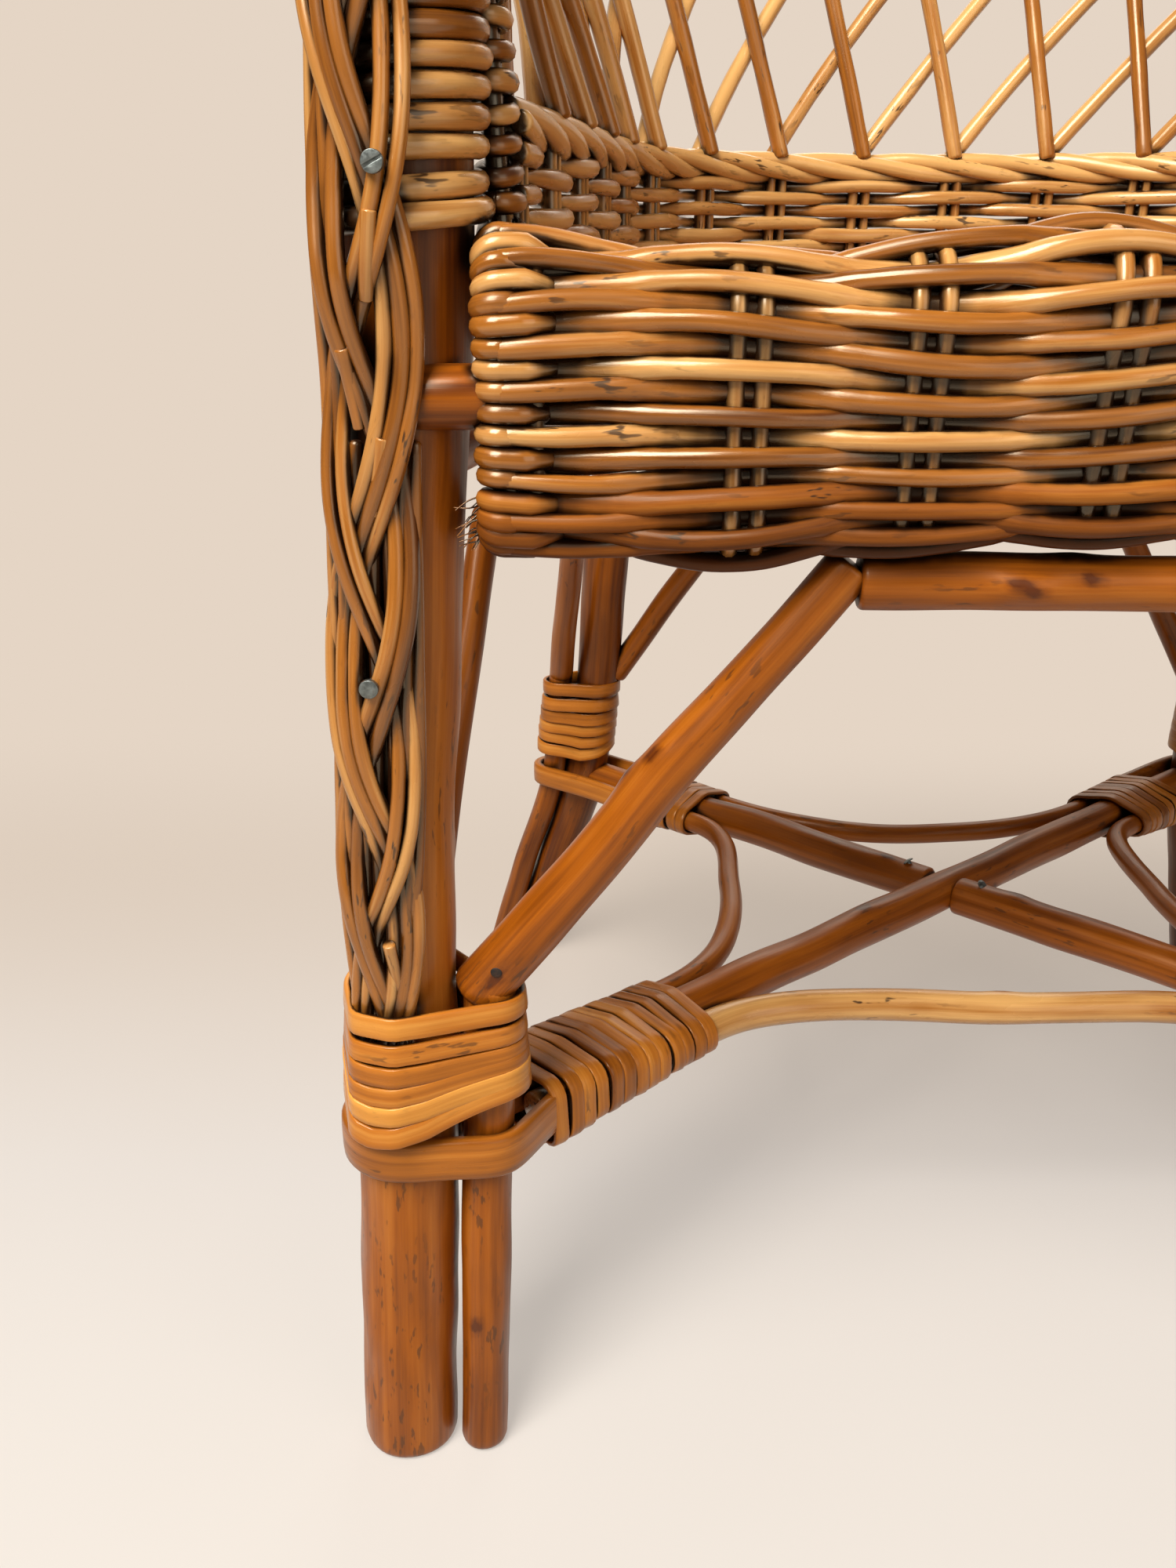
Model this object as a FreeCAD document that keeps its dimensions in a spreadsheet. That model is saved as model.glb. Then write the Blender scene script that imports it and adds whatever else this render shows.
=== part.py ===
"""Child's willow armchair: pole frame, cane bindings, woven seat and a lattice tub back.

Millimetres, Z up, the floor at Z 0. The front of the chair faces -Y, and left and right
are as seen from the front, so left is -X. Round wood is peeled willow, the bindings are
split cane, and the seat, apron, band and plaits are closed solids of the woven pieces.
"""
import FreeCAD
import Part
import math
import os
from FreeCAD import Placement, Rotation, Vector

SIZES = (
    ("leg_diameter", 25.0, "front leg, which runs on as the arm post"),
    ("front_foot_spacing", 333.0, "front leg centres on the floor"),
    ("front_rail_spacing", 311.0, "front leg centres at the seat rail"),
    ("doubler_diameter", 12.6, "short pole beside the front leg"),
    ("doubler_gap", 1.8, "room between a leg and its short pole"),
    ("rear_leg_diameter", 16.5, "rear leg"),
    ("rear_doubler_diameter", 9.2, "short pole beside the rear leg"),
    ("rear_foot_spacing", 303.0, "rear leg centres on the floor"),
    ("rear_knee_spacing", 249.0, "rear leg centres at the cross, where the legs bend"),
    ("rear_rail_spacing", 216.0, "rear leg centres at the seat rail"),
    ("rear_foot_setback", 268.0, "rear leg behind the front leg, on the floor"),
    ("rear_knee_setback", 241.0, "rear leg behind the front leg, at the cross"),
    ("rear_rail_setback", 200.0, "rear leg behind the front leg, at the seat rail"),
    ("rail_height", 275.5, "centre of the front and rear seat rails"),
    ("rail_diameter", 12.6, "front and rear seat rails"),
    ("side_rail_drop", 16.0, "side rails below the front rail"),
    ("side_rail_diameter", 11.0, "side seat rails"),
    ("tenon_depth", 6.0, "rail ends let into the legs"),
    ("bar_drop", 37.0, "bars under the seat, below the front rail"),
    ("bar_diameter", 11.6, "front bar"),
    ("thin_bar_diameter", 9.0, "side and rear bars"),
    ("front_bar_length", 134.0, "front bar between the axes of its braces"),
    ("side_bar_length", 96.0, "side bar between the axes of its braces"),
    ("rear_bar_length", 104.0, "rear bar between the axes of its braces"),
    ("brace_foot_diameter", 13.4, "front brace at its foot"),
    ("brace_top_diameter", 10.0, "front brace at its top"),
    ("thin_brace_foot_diameter", 9.2, "side and rear braces at the foot"),
    ("thin_brace_top_diameter", 7.6, "side and rear braces at the top"),
    ("stretcher_height", 97.0, "centre of the cross and its bows"),
    ("cross_diameter", 13.0, "poles of the cross"),
    ("bow_diameter", 9.4, "front bow, and the height of the straps round the front legs"),
    ("thin_bow_diameter", 7.4, "side and rear bows"),
    ("loop_thickness", 3.4, "bow shaved to a strap where it goes round a leg"),
    ("front_bow_inset", 62.0, "front bow's middle behind the front legs"),
    ("side_bow_inset", 71.0, "side bow's middle inside the legs"),
    ("rear_bow_inset", 58.0, "rear bow's middle in front of the rear legs"),
    ("bow_start", 31.0, "bow end from the leg's axis, along the cross pole"),
    ("cane_width", 4.8, "split cane of the bindings"),
    ("cane_thickness", 1.4, "split cane of the bindings"),
    ("cane_pitch", 5.4, "step of a binding from turn to turn"),
    ("leg_wrap_turns", 7.0, "turns of each leg binding"),
    ("front_corner_turns", 10.0, "turns of each front corner binding"),
    ("rear_corner_turns", 5.0, "turns of each rear corner binding"),
    ("coil_rod_diameter", 4.5, "rod coiled round the arm post"),
    ("coil_pitch", 5.1, "step of the post coil"),
    ("coil_start_rise", 1.0, "post coil above the apron's crest"),
    ("coil_top_drop", 16.0, "post coil's end below the rim rod"),
    ("plait_width", 21.0, "plait on the leg"),
    ("plait_offset", 2.5, "plait's middle outside the leg's axis"),
    ("plait_thickness", 8.0, "plait on the leg"),
    ("lower_nail_drop", 18.0, "lower plait nail below the bars"),
    ("upper_nail_rise", 13.0, "upper plait nail above the apron's crest"),
    ("seat_thickness", 8.4, "woven seat"),
    ("seat_front_gap", 2.0, "front of the seat and band behind the front legs"),
    ("seat_row_pitch", 4.3, "step of the seat's rods from front to back"),
    ("seat_stake_spacing", 18.3, "stakes that the seat's rods pass over and under"),
    ("seat_rod_swing", 1.4, "rise and fall of a seat rod at the stakes"),
    ("apron_rise", 27.0, "crest of the woven front apron above the front rail"),
    ("apron_reach", 17.0, "apron face in front of the leg axes"),
    ("apron_wall", 7.0, "woven thickness of the apron"),
    ("apron_end_gap", 6.0, "apron end to the leg"),
    ("apron_crest_radius", 14.0, "bend of the apron over its crest"),
    ("apron_foot_radius", 9.0, "bend of the apron at its foot"),
    ("band_height", 30.0, "woven band above the seat"),
    ("band_thickness", 7.0, "woven band above the seat"),
    ("border_diameter", 8.4, "rope-like border on the band"),
    ("border_side_gap", 9.0, "band's middle line to the inner side of a front leg"),
    ("border_setback", 226.0, "band's back behind the front legs"),
    ("border_taper", 10.0, "degrees that the band's sides close in"),
    ("border_corner", 95.0, "bend radius of the band's rear corners"),
    ("lattice_diameter", 4.8, "lattice rods"),
    ("lattice_spacing", 31.0, "lattice rods along the border"),
    ("steep_lean", 12.0, "degrees that the inner lattice rods lean"),
    ("slack_lean", 38.0, "degrees that the outer lattice rods lean"),
    ("rim_core_diameter", 11.0, "bent rod in the top rim"),
    ("rim_plait_diameter", 24.0, "plaited border round the top rim"),
    ("rim_plait_wall", 1.4, "plaited border over its core, between the crossings"),
    ("rim_plait_gap", 8.0, "end of the plaited border behind an arm post"),
    ("rim_strands", 5.0, "strands that wind each way round the top rim"),
    ("rim_strand_lay", 84.0, "length of rim for one turn of a strand"),
    ("arm_rise", 153.5, "rim rod on the arm posts, above the front rail"),
    ("back_rise", 131.0, "rim rod at the middle of the back, above the arms"),
    ("back_setback", 276.0, "rim rod's middle behind the front legs"),
    ("back_shoulder_spread", 236.0, "rim rod across the shoulders of the back"),
    ("arm_spread", 316.0, "rim rod across the arms"),
    ("arm_sweep", 16.0, "rim rod's climb along the arms"),
    ("nail_head_diameter", 3.8, "round-headed nails"),
    ("nail_length", 18.0, "round-headed nails"),
    ("fit_gap", 0.3, "room between pieces that lie side by side"),
)

os.makedirs("parts", exist_ok=True)
doc = FreeCAD.newDocument("child_willow_chair")
sheet = doc.addObject("Spreadsheet::Sheet", "sizes")
for row, (alias, value, note) in enumerate(SIZES, start=1):
    sheet.set("A%d" % row, note)
    sheet.set("B%d" % row, str(value))
    sheet.setAlias("B%d" % row, alias)
doc.recompute()

SIDES = (("left", -1), ("right", 1))
UP = Vector(0, 0, 1)
BACK = Vector(0, 1, 0)
nodes = []


def size(alias):
    """Number in the sheet's cell of that name."""
    return float(sheet.get(alias))


def keep(item, label):
    """Give a finished piece its name and put it on the list of pieces."""
    item.Label = label
    nodes.append(item)
    return item


# Derived places that several pieces share

leg_radius = size("leg_diameter") / 2
rear_radius = size("rear_leg_diameter") / 2
gap = size("fit_gap")
coil_outside = leg_radius + gap + size("coil_rod_diameter")
nail_crown = size("nail_head_diameter") / 4
front_reach = coil_outside + gap + size("plait_thickness") + nail_crown
back_reach = size("back_setback") + size("rim_plait_diameter") / 2
leg_y = (front_reach - back_reach) / 2
seat_bottom = size("rail_height") + size("rail_diameter") / 2
seat_top = seat_bottom + size("seat_thickness")
band_top = seat_top + size("band_height")
stretcher_z = size("stretcher_height")
side_rail_z = size("rail_height") - size("side_rail_drop")
bar_z = size("rail_height") - size("bar_drop")
apron_top = size("rail_height") + size("apron_rise")
arm_z = size("rail_height") + size("arm_rise")
back_z = arm_z + size("back_rise")
wrap_rise = size("cane_pitch") * size("leg_wrap_turns")
wrap_bottom = stretcher_z + size("bow_diameter") / 2 + size("cane_width") / 2 + gap
wrap_top = wrap_bottom + wrap_rise + size("cane_width") / 2


def front_leg_at(side, z):
    """Point of a front leg's axis at a height."""
    foot = size("front_foot_spacing") / 2
    rail = size("front_rail_spacing") / 2
    return Vector(side * (foot + (rail - foot) * z / size("rail_height")), leg_y, z)


def rear_leg_at(side, z):
    """Point of a rear leg's axis at a height; the leg has a slight knee at the cross."""
    foot = Vector(size("rear_foot_spacing") / 2, size("rear_foot_setback"), 0)
    knee = Vector(size("rear_knee_spacing") / 2, size("rear_knee_setback"), stretcher_z)
    rail = Vector(size("rear_rail_spacing") / 2, size("rear_rail_setback"), size("rail_height"))
    if z < stretcher_z:
        point = foot + (knee - foot) * (z / stretcher_z)
    else:
        point = knee + (rail - knee) * ((z - stretcher_z) / (rail.z - stretcher_z))
    return Vector(side * point.x, leg_y + point.y, z)


def front_doubler_at(side, z):
    """Axis of the short pole on the inner side of a front leg."""
    reach = leg_radius + size("doubler_diameter") / 2 + size("doubler_gap")
    bearing = math.radians(9)
    return front_leg_at(side, z) + Vector(-side * reach * math.cos(bearing), -reach * math.sin(bearing), 0)


def rear_doubler_at(side, z):
    """Axis of the short pole on the outer side of a rear leg."""
    reach = rear_radius + size("rear_doubler_diameter") / 2 + 2 * gap
    bearing = math.radians(9)
    return rear_leg_at(side, z) + Vector(side * reach * math.cos(bearing), -reach * math.sin(bearing), 0)


# Straight poles, paths and tubes

def stick(name, start, end, diameter, end_diameter=None):
    """Round pole between two points; its diameters are named cells."""
    if end_diameter is None:
        pole = doc.addObject("Part::Cylinder", name)
        pole.setExpression("Radius", "sizes.%s / 2" % diameter)
    else:
        pole = doc.addObject("Part::Cone", name)
        pole.setExpression("Radius1", "sizes.%s / 2" % diameter)
        pole.setExpression("Radius2", "sizes.%s / 2" % end_diameter)
    pole.Height = (end - start).Length
    pole.Placement = Placement(start, Rotation(UP, end - start))
    return pole


def slab(name, bottom, top):
    """Wide flat block that trims poles level at two heights."""
    reach = 2 * max(size("front_foot_spacing"), back_reach)
    block = doc.addObject("Part::Box", name)
    block.Length = 2 * reach
    block.Width = 2 * reach
    block.Height = top - bottom
    block.Placement = Placement(Vector(-reach, -reach, bottom), Rotation())
    return block


def between(name, pole, block):
    """The stretch of a pole inside a trimming block."""
    trimmed = doc.addObject("Part::Common", name)
    trimmed.Base = pole
    trimmed.Tool = block
    return trimmed


def less(name, base, tools):
    """A piece with the room for its neighbours cut out of it."""
    cut = doc.addObject("Part::Cut", name)
    cut.Base = base
    if len(tools) == 1:
        cut.Tool = tools[0]
    else:
        group = doc.addObject("Part::Compound", name + "_room")
        group.Links = tools
        cut.Tool = group
    return cut


def arc_edge(start, heading, end):
    """Circular arc that leaves start along heading and reaches end."""
    chord = end - start
    across = chord - heading * chord.dot(heading)
    if across.Length < 1e-6:
        return Part.LineSegment(start, end).toShape()
    across.normalize()
    radius = chord.dot(chord) / (2 * chord.dot(across))
    centre = start + across * radius
    middle = (start + end) * 0.5 - centre
    middle.normalize()
    return Part.Arc(start, centre + middle * radius, end).toShape()


def biarc(start, heading, end, end_heading):
    """Two arcs, smooth where they join, from one point and heading to another."""
    chord = end - start
    both = heading + end_heading
    turn = 2 * (1 - heading.dot(end_heading))
    along = chord.dot(both)
    if turn < 1e-9:
        if (chord - heading * chord.dot(heading)).Length < 1e-6:
            return [Part.LineSegment(start, end).toShape()]
        reach = chord.dot(chord) / (2 * along)
    else:
        reach = (math.sqrt(along * along + turn * chord.dot(chord)) - along) / turn
    first = start + heading * reach
    last = end - end_heading * reach
    middle = (first + last) * 0.5
    joint = last - first
    joint.normalize()
    return [arc_edge(start, heading, middle), arc_edge(middle, joint, end)]


def smooth_wire(stations):
    """Wire of arcs through (point, heading) stations."""
    edges = []
    for (start, heading), (end, end_heading) in zip(stations, stations[1:]):
        edges += biarc(start, unit(heading), end, unit(end_heading))
    return Part.Wire(edges)


def unit(vector):
    """Vector of length one in the same direction."""
    copy = Vector(vector)
    copy.normalize()
    return copy


def bent_rod(name, stations, diameter):
    """Round rod bent along smooth arcs; its diameter is a named cell."""
    path = doc.addObject("Part::Feature", name + "_path")
    path.Shape = smooth_wire(stations)
    ring = doc.addObject("Part::Circle", name + "_ring")
    ring.setExpression("Radius", "sizes.%s / 2" % diameter)
    ring.Placement = Placement(stations[0][0], Rotation(UP, stations[0][1]))
    rod = doc.addObject("Part::Sweep", name)
    rod.Sections = [ring]
    rod.Spine = (path, ["Edge%d" % (n + 1) for n in range(len(path.Shape.Edges))])
    rod.Solid = True
    rod.Frenet = False
    return rod


def mirrored(point):
    """Point on the other side of the chair."""
    return Vector(-point.x, point.y, point.z)


# Nails

def make_nail():
    """Round-headed nail, turned about Z, with the underside of its head at Z 0."""
    body = doc.addObject("PartDesign::Body", "nail")
    sketch = body.newObject("Sketcher::SketchObject", "nail_profile")
    plane = [f for f in body.Origin.OriginFeatures if f.Role == "XZ_Plane"][0]
    sketch.AttachmentSupport = [(plane, "")]
    sketch.MapMode = "FlatFace"
    head = size("nail_head_diameter") / 2
    shank = head * 0.42
    length = size("nail_length")
    crown = nail_crown
    edge = head * 0.2
    corners = [
        (0, -length), (shank, 3 * shank - length), (shank, 0), (head, 0), (head, edge),
        (head * 0.6, crown * 0.85), (0, crown),
    ]
    for here, there in zip(corners, corners[1:] + corners[:1]):
        line = Part.LineSegment(Vector(here[0], here[1], 0), Vector(there[0], there[1], 0))
        sketch.addGeometry(line, False)
    turned = body.newObject("PartDesign::Revolution", "nail_turned")
    turned.Profile = sketch
    turned.ReferenceAxis = (sketch, ["V_Axis"])
    turned.Angle = 360
    doc.recompute()
    return body


nail = make_nail()


def nail_group(name, places):
    """Nails driven at (point, outward direction) places."""
    solids = []
    for point, outward in places:
        copy = nail.Shape.copy()
        copy.Placement = Placement(point, Rotation(UP, outward))
        solids.append(copy)
    group = doc.addObject("Part::Feature", name)
    group.Shape = Part.makeCompound(solids)
    return group


# Top rim: bent core rod and its plaited border

arm_front = front_leg_at(-1, arm_z)
rim_half = [
    (Vector(arm_front.x, leg_y - leg_radius, arm_z), BACK),
    (Vector(arm_front.x, leg_y + leg_radius + gap + size("rim_plait_gap"), arm_z), BACK),
    (
        Vector(
            -size("arm_spread") / 2,
            leg_y + size("back_setback") * 0.42,
            arm_z + size("arm_sweep"),
        ),
        Vector(0.02, 1, 0.32),
    ),
    (
        Vector(
            -size("back_shoulder_spread") / 2,
            leg_y + size("back_setback") * 0.86,
            arm_z + size("back_rise") * 0.74,
        ),
        Vector(0.72, 0.62, 0.52),
    ),
]
rim_middle = (Vector(0, leg_y + size("back_setback"), back_z), Vector(1, 0, 0))
rim_stations = list(rim_half)
rim_stations.append(rim_middle)
for point, heading in reversed(rim_half):
    rim_stations.append((mirrored(point), Vector(heading.x, -heading.y, -heading.z)))
rim_core = keep(bent_rod("rim_core_rod", rim_stations, "rim_core_diameter"), "rim_core_rod")

plait_stations = rim_stations[1:-1]


def rim_rings():
    """Star-shaped outlines along the rim, high where two strands cross and low between."""
    path = smooth_wire(plait_stations)
    places = 2 * int(size("rim_strands"))
    count = round(path.Length / (size("rim_strand_lay") / places))
    high = size("rim_plait_diameter") / 2
    low = size("rim_core_diameter") / 2 + gap + size("rim_plait_wall")
    points = path.discretize(Number=count + 1)
    headings = [ahead - behind for behind, ahead in zip(points, points[2:])]
    headings = [plait_stations[0][1]] + headings + [plait_stations[-1][1]]
    rings = []
    for number, (here, heading) in enumerate(zip(points, map(unit, headings))):
        sideways = unit(heading.cross(UP))
        upwards = sideways.cross(heading)
        corners = []
        for place in range(places):
            bearing = 2 * math.pi * place / places
            reach = high if (place + number) % 2 == 0 else low
            corners.append(here + (sideways * math.cos(bearing) + upwards * math.sin(bearing)) * reach)
        rings.append(Part.makePolygon(corners + corners[:1]))
    return rings


plait_body = doc.addObject("Part::Feature", "rim_plait_body")
rim_outlines = rim_rings()
plait_body.Shape = Part.makeLoft(rim_outlines, True, True)
plait_room = bent_rod("rim_plait_bore", plait_stations, "rim_core_diameter")
plait_room.Sections[0].setExpression("Radius", "sizes.rim_core_diameter / 2 + sizes.fit_gap")
rim_plait = keep(less("rim_plait_ring", plait_body, [plait_room]), "rim_plait")

# Seat rails

rail_ends = size("front_rail_spacing") / 2 - leg_radius + size("tenon_depth")
front_rail = doc.addObject("Part::Cylinder", "front_rail_stick")
front_rail.setExpression("Radius", "sizes.rail_diameter / 2")
front_rail.setExpression("Height", "sizes.front_rail_spacing - sizes.leg_diameter + 2 * sizes.tenon_depth")
front_rail.Placement = Placement(
    Vector(-rail_ends, leg_y, size("rail_height")), Rotation(UP, Vector(1, 0, 0))
)
keep(front_rail, "front_seat_rail")

rear_rail_ends = size("rear_rail_spacing") / 2 - rear_radius + size("tenon_depth") / 2
rear_rail = doc.addObject("Part::Cylinder", "rear_rail_stick")
rear_rail.setExpression("Radius", "sizes.rail_diameter / 2")
rear_rail.setExpression("Height", "sizes.rear_rail_spacing - sizes.rear_leg_diameter + sizes.tenon_depth")
rear_rail.Placement = Placement(
    Vector(-rear_rail_ends, leg_y + size("rear_rail_setback"), size("rail_height")),
    Rotation(UP, Vector(1, 0, 0)),
)

side_rails = {}
for word, side in SIDES:
    ahead = front_leg_at(side, side_rail_z)
    behind = rear_leg_at(side, side_rail_z)
    run = unit(behind - ahead)
    start = ahead + run * (leg_radius - size("tenon_depth"))
    end = behind - run * (rear_radius - size("tenon_depth") / 2)
    side_rails[side] = stick("side_rail_stick_" + word, start, end, "side_rail_diameter")
    keep(side_rails[side], "side_seat_rail_" + word)

# Legs, their short poles, and the nails driven into them

plait_low = leg_radius + gap + size("plait_thickness") / 2
plait_high = coil_outside + gap + size("plait_thickness") / 2
nail_low = bar_z - size("lower_nail_drop")
nail_high = apron_top + size("upper_nail_rise")
doubler_top = wrap_top + gap
brace_foot_radius = size("brace_foot_diameter") / 2


def front_brace_line(side):
    """Foot and top of a front brace's axis."""
    foot = front_doubler_at(side, doubler_top)
    return foot, Vector(side * size("front_bar_length") / 2, foot.y, bar_z)


plait_places = []
brace_places = []
for word, side in SIDES:
    for height, reach in ((nail_low, plait_low), (nail_high, plait_high)):
        point = front_leg_at(side, height)
        point.x += side * size("plait_offset")
        point.y -= reach + size("plait_thickness") / 2
        plait_places.append((point, -BACK))
    foot, top = front_brace_line(side)
    outward = unit(Vector(-side, -1, 0))
    brace_places.append((foot + unit(top - foot) * brace_foot_radius + outward * brace_foot_radius, outward))
plait_nails = keep(nail_group("plait_nail_set", plait_places), "plait_nails")
brace_nails = keep(nail_group("brace_nail_set", brace_places), "brace_nails")


def knee_pole(name, axis_at, side, above, diameter):
    """Pole with a slight bend at the height of the cross, longer than needed at both ends."""
    below = axis_at(side, -size("leg_diameter"))
    knee = axis_at(side, stretcher_z)
    top = axis_at(side, above)
    low = unit(knee - below)
    high = unit(top - knee)
    bend = rear_radius
    stations = [(below, low), (knee - low * bend, low), (knee + high * bend, high), (top, high)]
    return bent_rod(name, stations, diameter)


floor_to_arm = slab("floor_to_arm", 0, arm_z)
floor_to_seat = slab("floor_to_seat", 0, seat_top)
floor_to_doubler = slab("floor_to_doubler", 0, doubler_top - gap)
leg_poles = {}
rear_poles = {}
for word, side in SIDES:
    below = -size("leg_diameter")
    above = arm_z + size("leg_diameter")
    leg_poles[side] = stick(
        "front_pole_" + word, front_leg_at(side, below), front_leg_at(side, above), "leg_diameter"
    )
    level = between("front_pole_level_" + word, leg_poles[side], floor_to_arm)
    room = [front_rail, side_rails[side], rim_core, plait_nails, brace_nails]
    keep(less("front_pole_fitted_" + word, level, room), "front_leg_" + word)

    ends = (front_doubler_at(side, below), front_doubler_at(side, above))
    pole = stick("front_short_" + word, *ends, "doubler_diameter")
    keep(between("front_short_level_" + word, pole, floor_to_doubler), "front_leg_doubler_" + word)

    rear_poles[side] = knee_pole("rear_pole_" + word, rear_leg_at, side, above, "rear_leg_diameter")
    level = between("rear_pole_level_" + word, rear_poles[side], floor_to_seat)
    keep(less("rear_pole_fitted_" + word, level, [rear_rail, side_rails[side]]), "rear_leg_" + word)

    pole = knee_pole("rear_short_" + word, rear_doubler_at, side, above, "rear_doubler_diameter")
    keep(between("rear_short_level_" + word, pole, floor_to_doubler), "rear_leg_doubler_" + word)
keep(rear_rail, "rear_seat_rail")

# Braces and bars under the seat

under_front_bar = slab("wrap_to_front_bar", wrap_top + gap, bar_z + size("bar_diameter") / 2)
under_thin_bar = slab("wrap_to_thin_bar", wrap_top + gap, bar_z + size("thin_bar_diameter") / 2)


def brace(label, foot, top, diameters, block, room):
    """Slanting pole that stands against a leg and carries the end of a bar."""
    run = unit(top - foot)
    spare = size("leg_diameter")
    pole = stick(label + "_pole", foot - run * spare, top + run * spare, *diameters)
    level = between(label + "_level", pole, block)
    return keep(less(label + "_fitted", level, room), label)


def bar(label, start, end, diameter, braces):
    """Level pole whose ends are hollowed to fit its two braces."""
    pole = stick(label + "_pole", start, end, diameter)
    return keep(less(label + "_fitted", pole, braces), label)


pair = []
for word, side in SIDES:
    foot, top = front_brace_line(side)
    diameters = ("brace_foot_diameter", "brace_top_diameter")
    room = [leg_poles[side], brace_nails]
    pair.append(brace("front_brace_" + word, foot, top, diameters, under_front_bar, room))
ends = [front_brace_line(side)[1] for word, side in SIDES]
bar("front_bar", ends[0], ends[1], "bar_diameter", pair)

thin = ("thin_brace_foot_diameter", "thin_brace_top_diameter")
for word, side in SIDES:
    ahead = front_leg_at(side, bar_z)
    behind = rear_leg_at(side, bar_z)
    run = unit(behind - ahead)
    middle = (ahead + behind) * 0.5
    first = middle - run * (size("side_bar_length") / 2)
    last = middle + run * (size("side_bar_length") / 2)
    front_foot = front_leg_at(side, wrap_top) + run * leg_radius
    rear_foot = rear_doubler_at(side, doubler_top)
    pair = [
        brace("side_front_brace_" + word, front_foot, first, thin, under_thin_bar, [leg_poles[side]]),
        brace("side_rear_brace_" + word, rear_foot, last, thin, under_thin_bar, [rear_poles[side]]),
    ]
    bar("side_bar_" + word, first, last, "thin_bar_diameter", pair)

pair = []
ends = []
for word, side in SIDES:
    inward = Vector(-side, 0, 0)
    foot = rear_leg_at(side, wrap_top) + inward * rear_radius
    top = Vector(side * size("rear_bar_length") / 2, rear_leg_at(side, bar_z).y, bar_z)
    pair.append(brace("rear_brace_" + word, foot, top, thin, under_thin_bar, [rear_poles[side]]))
    ends.append(top)
bar("rear_bar", ends[0], ends[1], "thin_bar_diameter", pair)

# Cross between the legs

front_corner = {side: front_leg_at(side, stretcher_z) for word, side in SIDES}
rear_corner = {side: rear_leg_at(side, stretcher_z) for word, side in SIDES}
share = -front_corner[-1].x / (rear_corner[1].x - front_corner[-1].x)
middle = front_corner[-1] + (rear_corner[1] - front_corner[-1]) * share
cross_radius = size("cross_diameter") / 2

halves = (
    ("cross_half_rear_left", rear_corner[-1], rear_poles[-1]),
    ("cross_half_front_right", front_corner[1], leg_poles[1]),
)
places = []
for label, corner, pole in halves:
    away = unit(corner - middle)
    places.append((middle + away * (2.1 * cross_radius) + UP * cross_radius, unit(away + UP)))
cross_nails = keep(nail_group("cross_nail_set", places), "cross_nails")

through = stick("cross_through_pole", front_corner[-1], rear_corner[1], "cross_diameter")
keep(less("cross_through_fitted", through, [leg_poles[-1], rear_poles[1], cross_nails]), "cross_through")
for label, corner, pole in halves:
    half = stick(label + "_pole", corner, middle, "cross_diameter")
    keep(less(label + "_fitted", half, [pole, through, cross_nails]), label)

# Bows between the corners and the loops round the legs

bow_radius = size("bow_diameter") / 2
thin_bow_radius = size("thin_bow_diameter") / 2
bow_start = size("bow_start")
corner_start = bow_start + size("cane_width") / 2 + gap
front_straight = corner_start + size("cane_pitch") * size("front_corner_turns") + size("cane_width")
rear_straight = corner_start + size("cane_pitch") * size("rear_corner_turns") + size("cane_width")


def lane(corner, reach, offset):
    """Point beside a cross pole: reach from the leg's axis, offset to the pole's left."""
    along = unit(middle - corner)
    return corner + along * reach + UP.cross(along) * offset


def lane_pair(corner, straight, offset):
    """Two stations along the straight end of a bow, leg end first, heading inwards."""
    along = unit(middle - corner)
    return [(lane(corner, bow_start, offset), along), (lane(corner, straight, offset), along)]


def turned(stations):
    """The same stations walked the other way."""
    return [(point, -heading) for point, heading in reversed(stations)]


front_lane = cross_radius + bow_radius + gap
thin_lane = cross_radius + thin_bow_radius + gap
across = Vector(1, 0, 0)
stations = lane_pair(front_corner[-1], front_straight, -front_lane)
stations.append((Vector(0, leg_y + size("front_bow_inset"), stretcher_z), across))
stations += turned(lane_pair(front_corner[1], front_straight, front_lane))
keep(bent_rod("front_bow_rod", stations, "bow_diameter"), "front_bow")

stations = lane_pair(rear_corner[-1], rear_straight, thin_lane)
stations.append((Vector(0, rear_corner[1].y - size("rear_bow_inset"), stretcher_z), across))
stations += turned(lane_pair(rear_corner[1], rear_straight, -thin_lane))
keep(bent_rod("rear_bow_rod", stations, "thin_bow_diameter"), "rear_bow")

for word, side in SIDES:
    waist = side * ((front_corner[1].x + rear_corner[1].x) / 2 - size("side_bow_inset"))
    stations = lane_pair(front_corner[side], front_straight, -side * thin_lane)
    stations.append((Vector(waist, middle.y, stretcher_z), BACK))
    stations += turned(lane_pair(rear_corner[side], rear_straight, side * thin_lane))
    keep(bent_rod("side_bow_rod_" + word, stations, "thin_bow_diameter"), "side_bow_" + word)


def loop_stations(corner, poles, offset):
    """Stations of a strap laid round the outside of a leg and its short pole."""
    along = unit(middle - corner)
    stations = [(lane(corner, bow_start - gap, -offset), -along)]
    for degrees in (-105, -52, 0, 52, 105):
        outward = Rotation(UP, -degrees).multVec(-along)
        centre, pole_radius = max(poles, key=lambda pole: pole[0].dot(outward) + pole[1])
        point = centre + outward * (pole_radius + size("loop_thickness") / 2 + 2 * gap)
        stations.append((point, outward.cross(UP)))
    stations.append((lane(corner, bow_start - gap, offset), along))
    return stations


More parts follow.
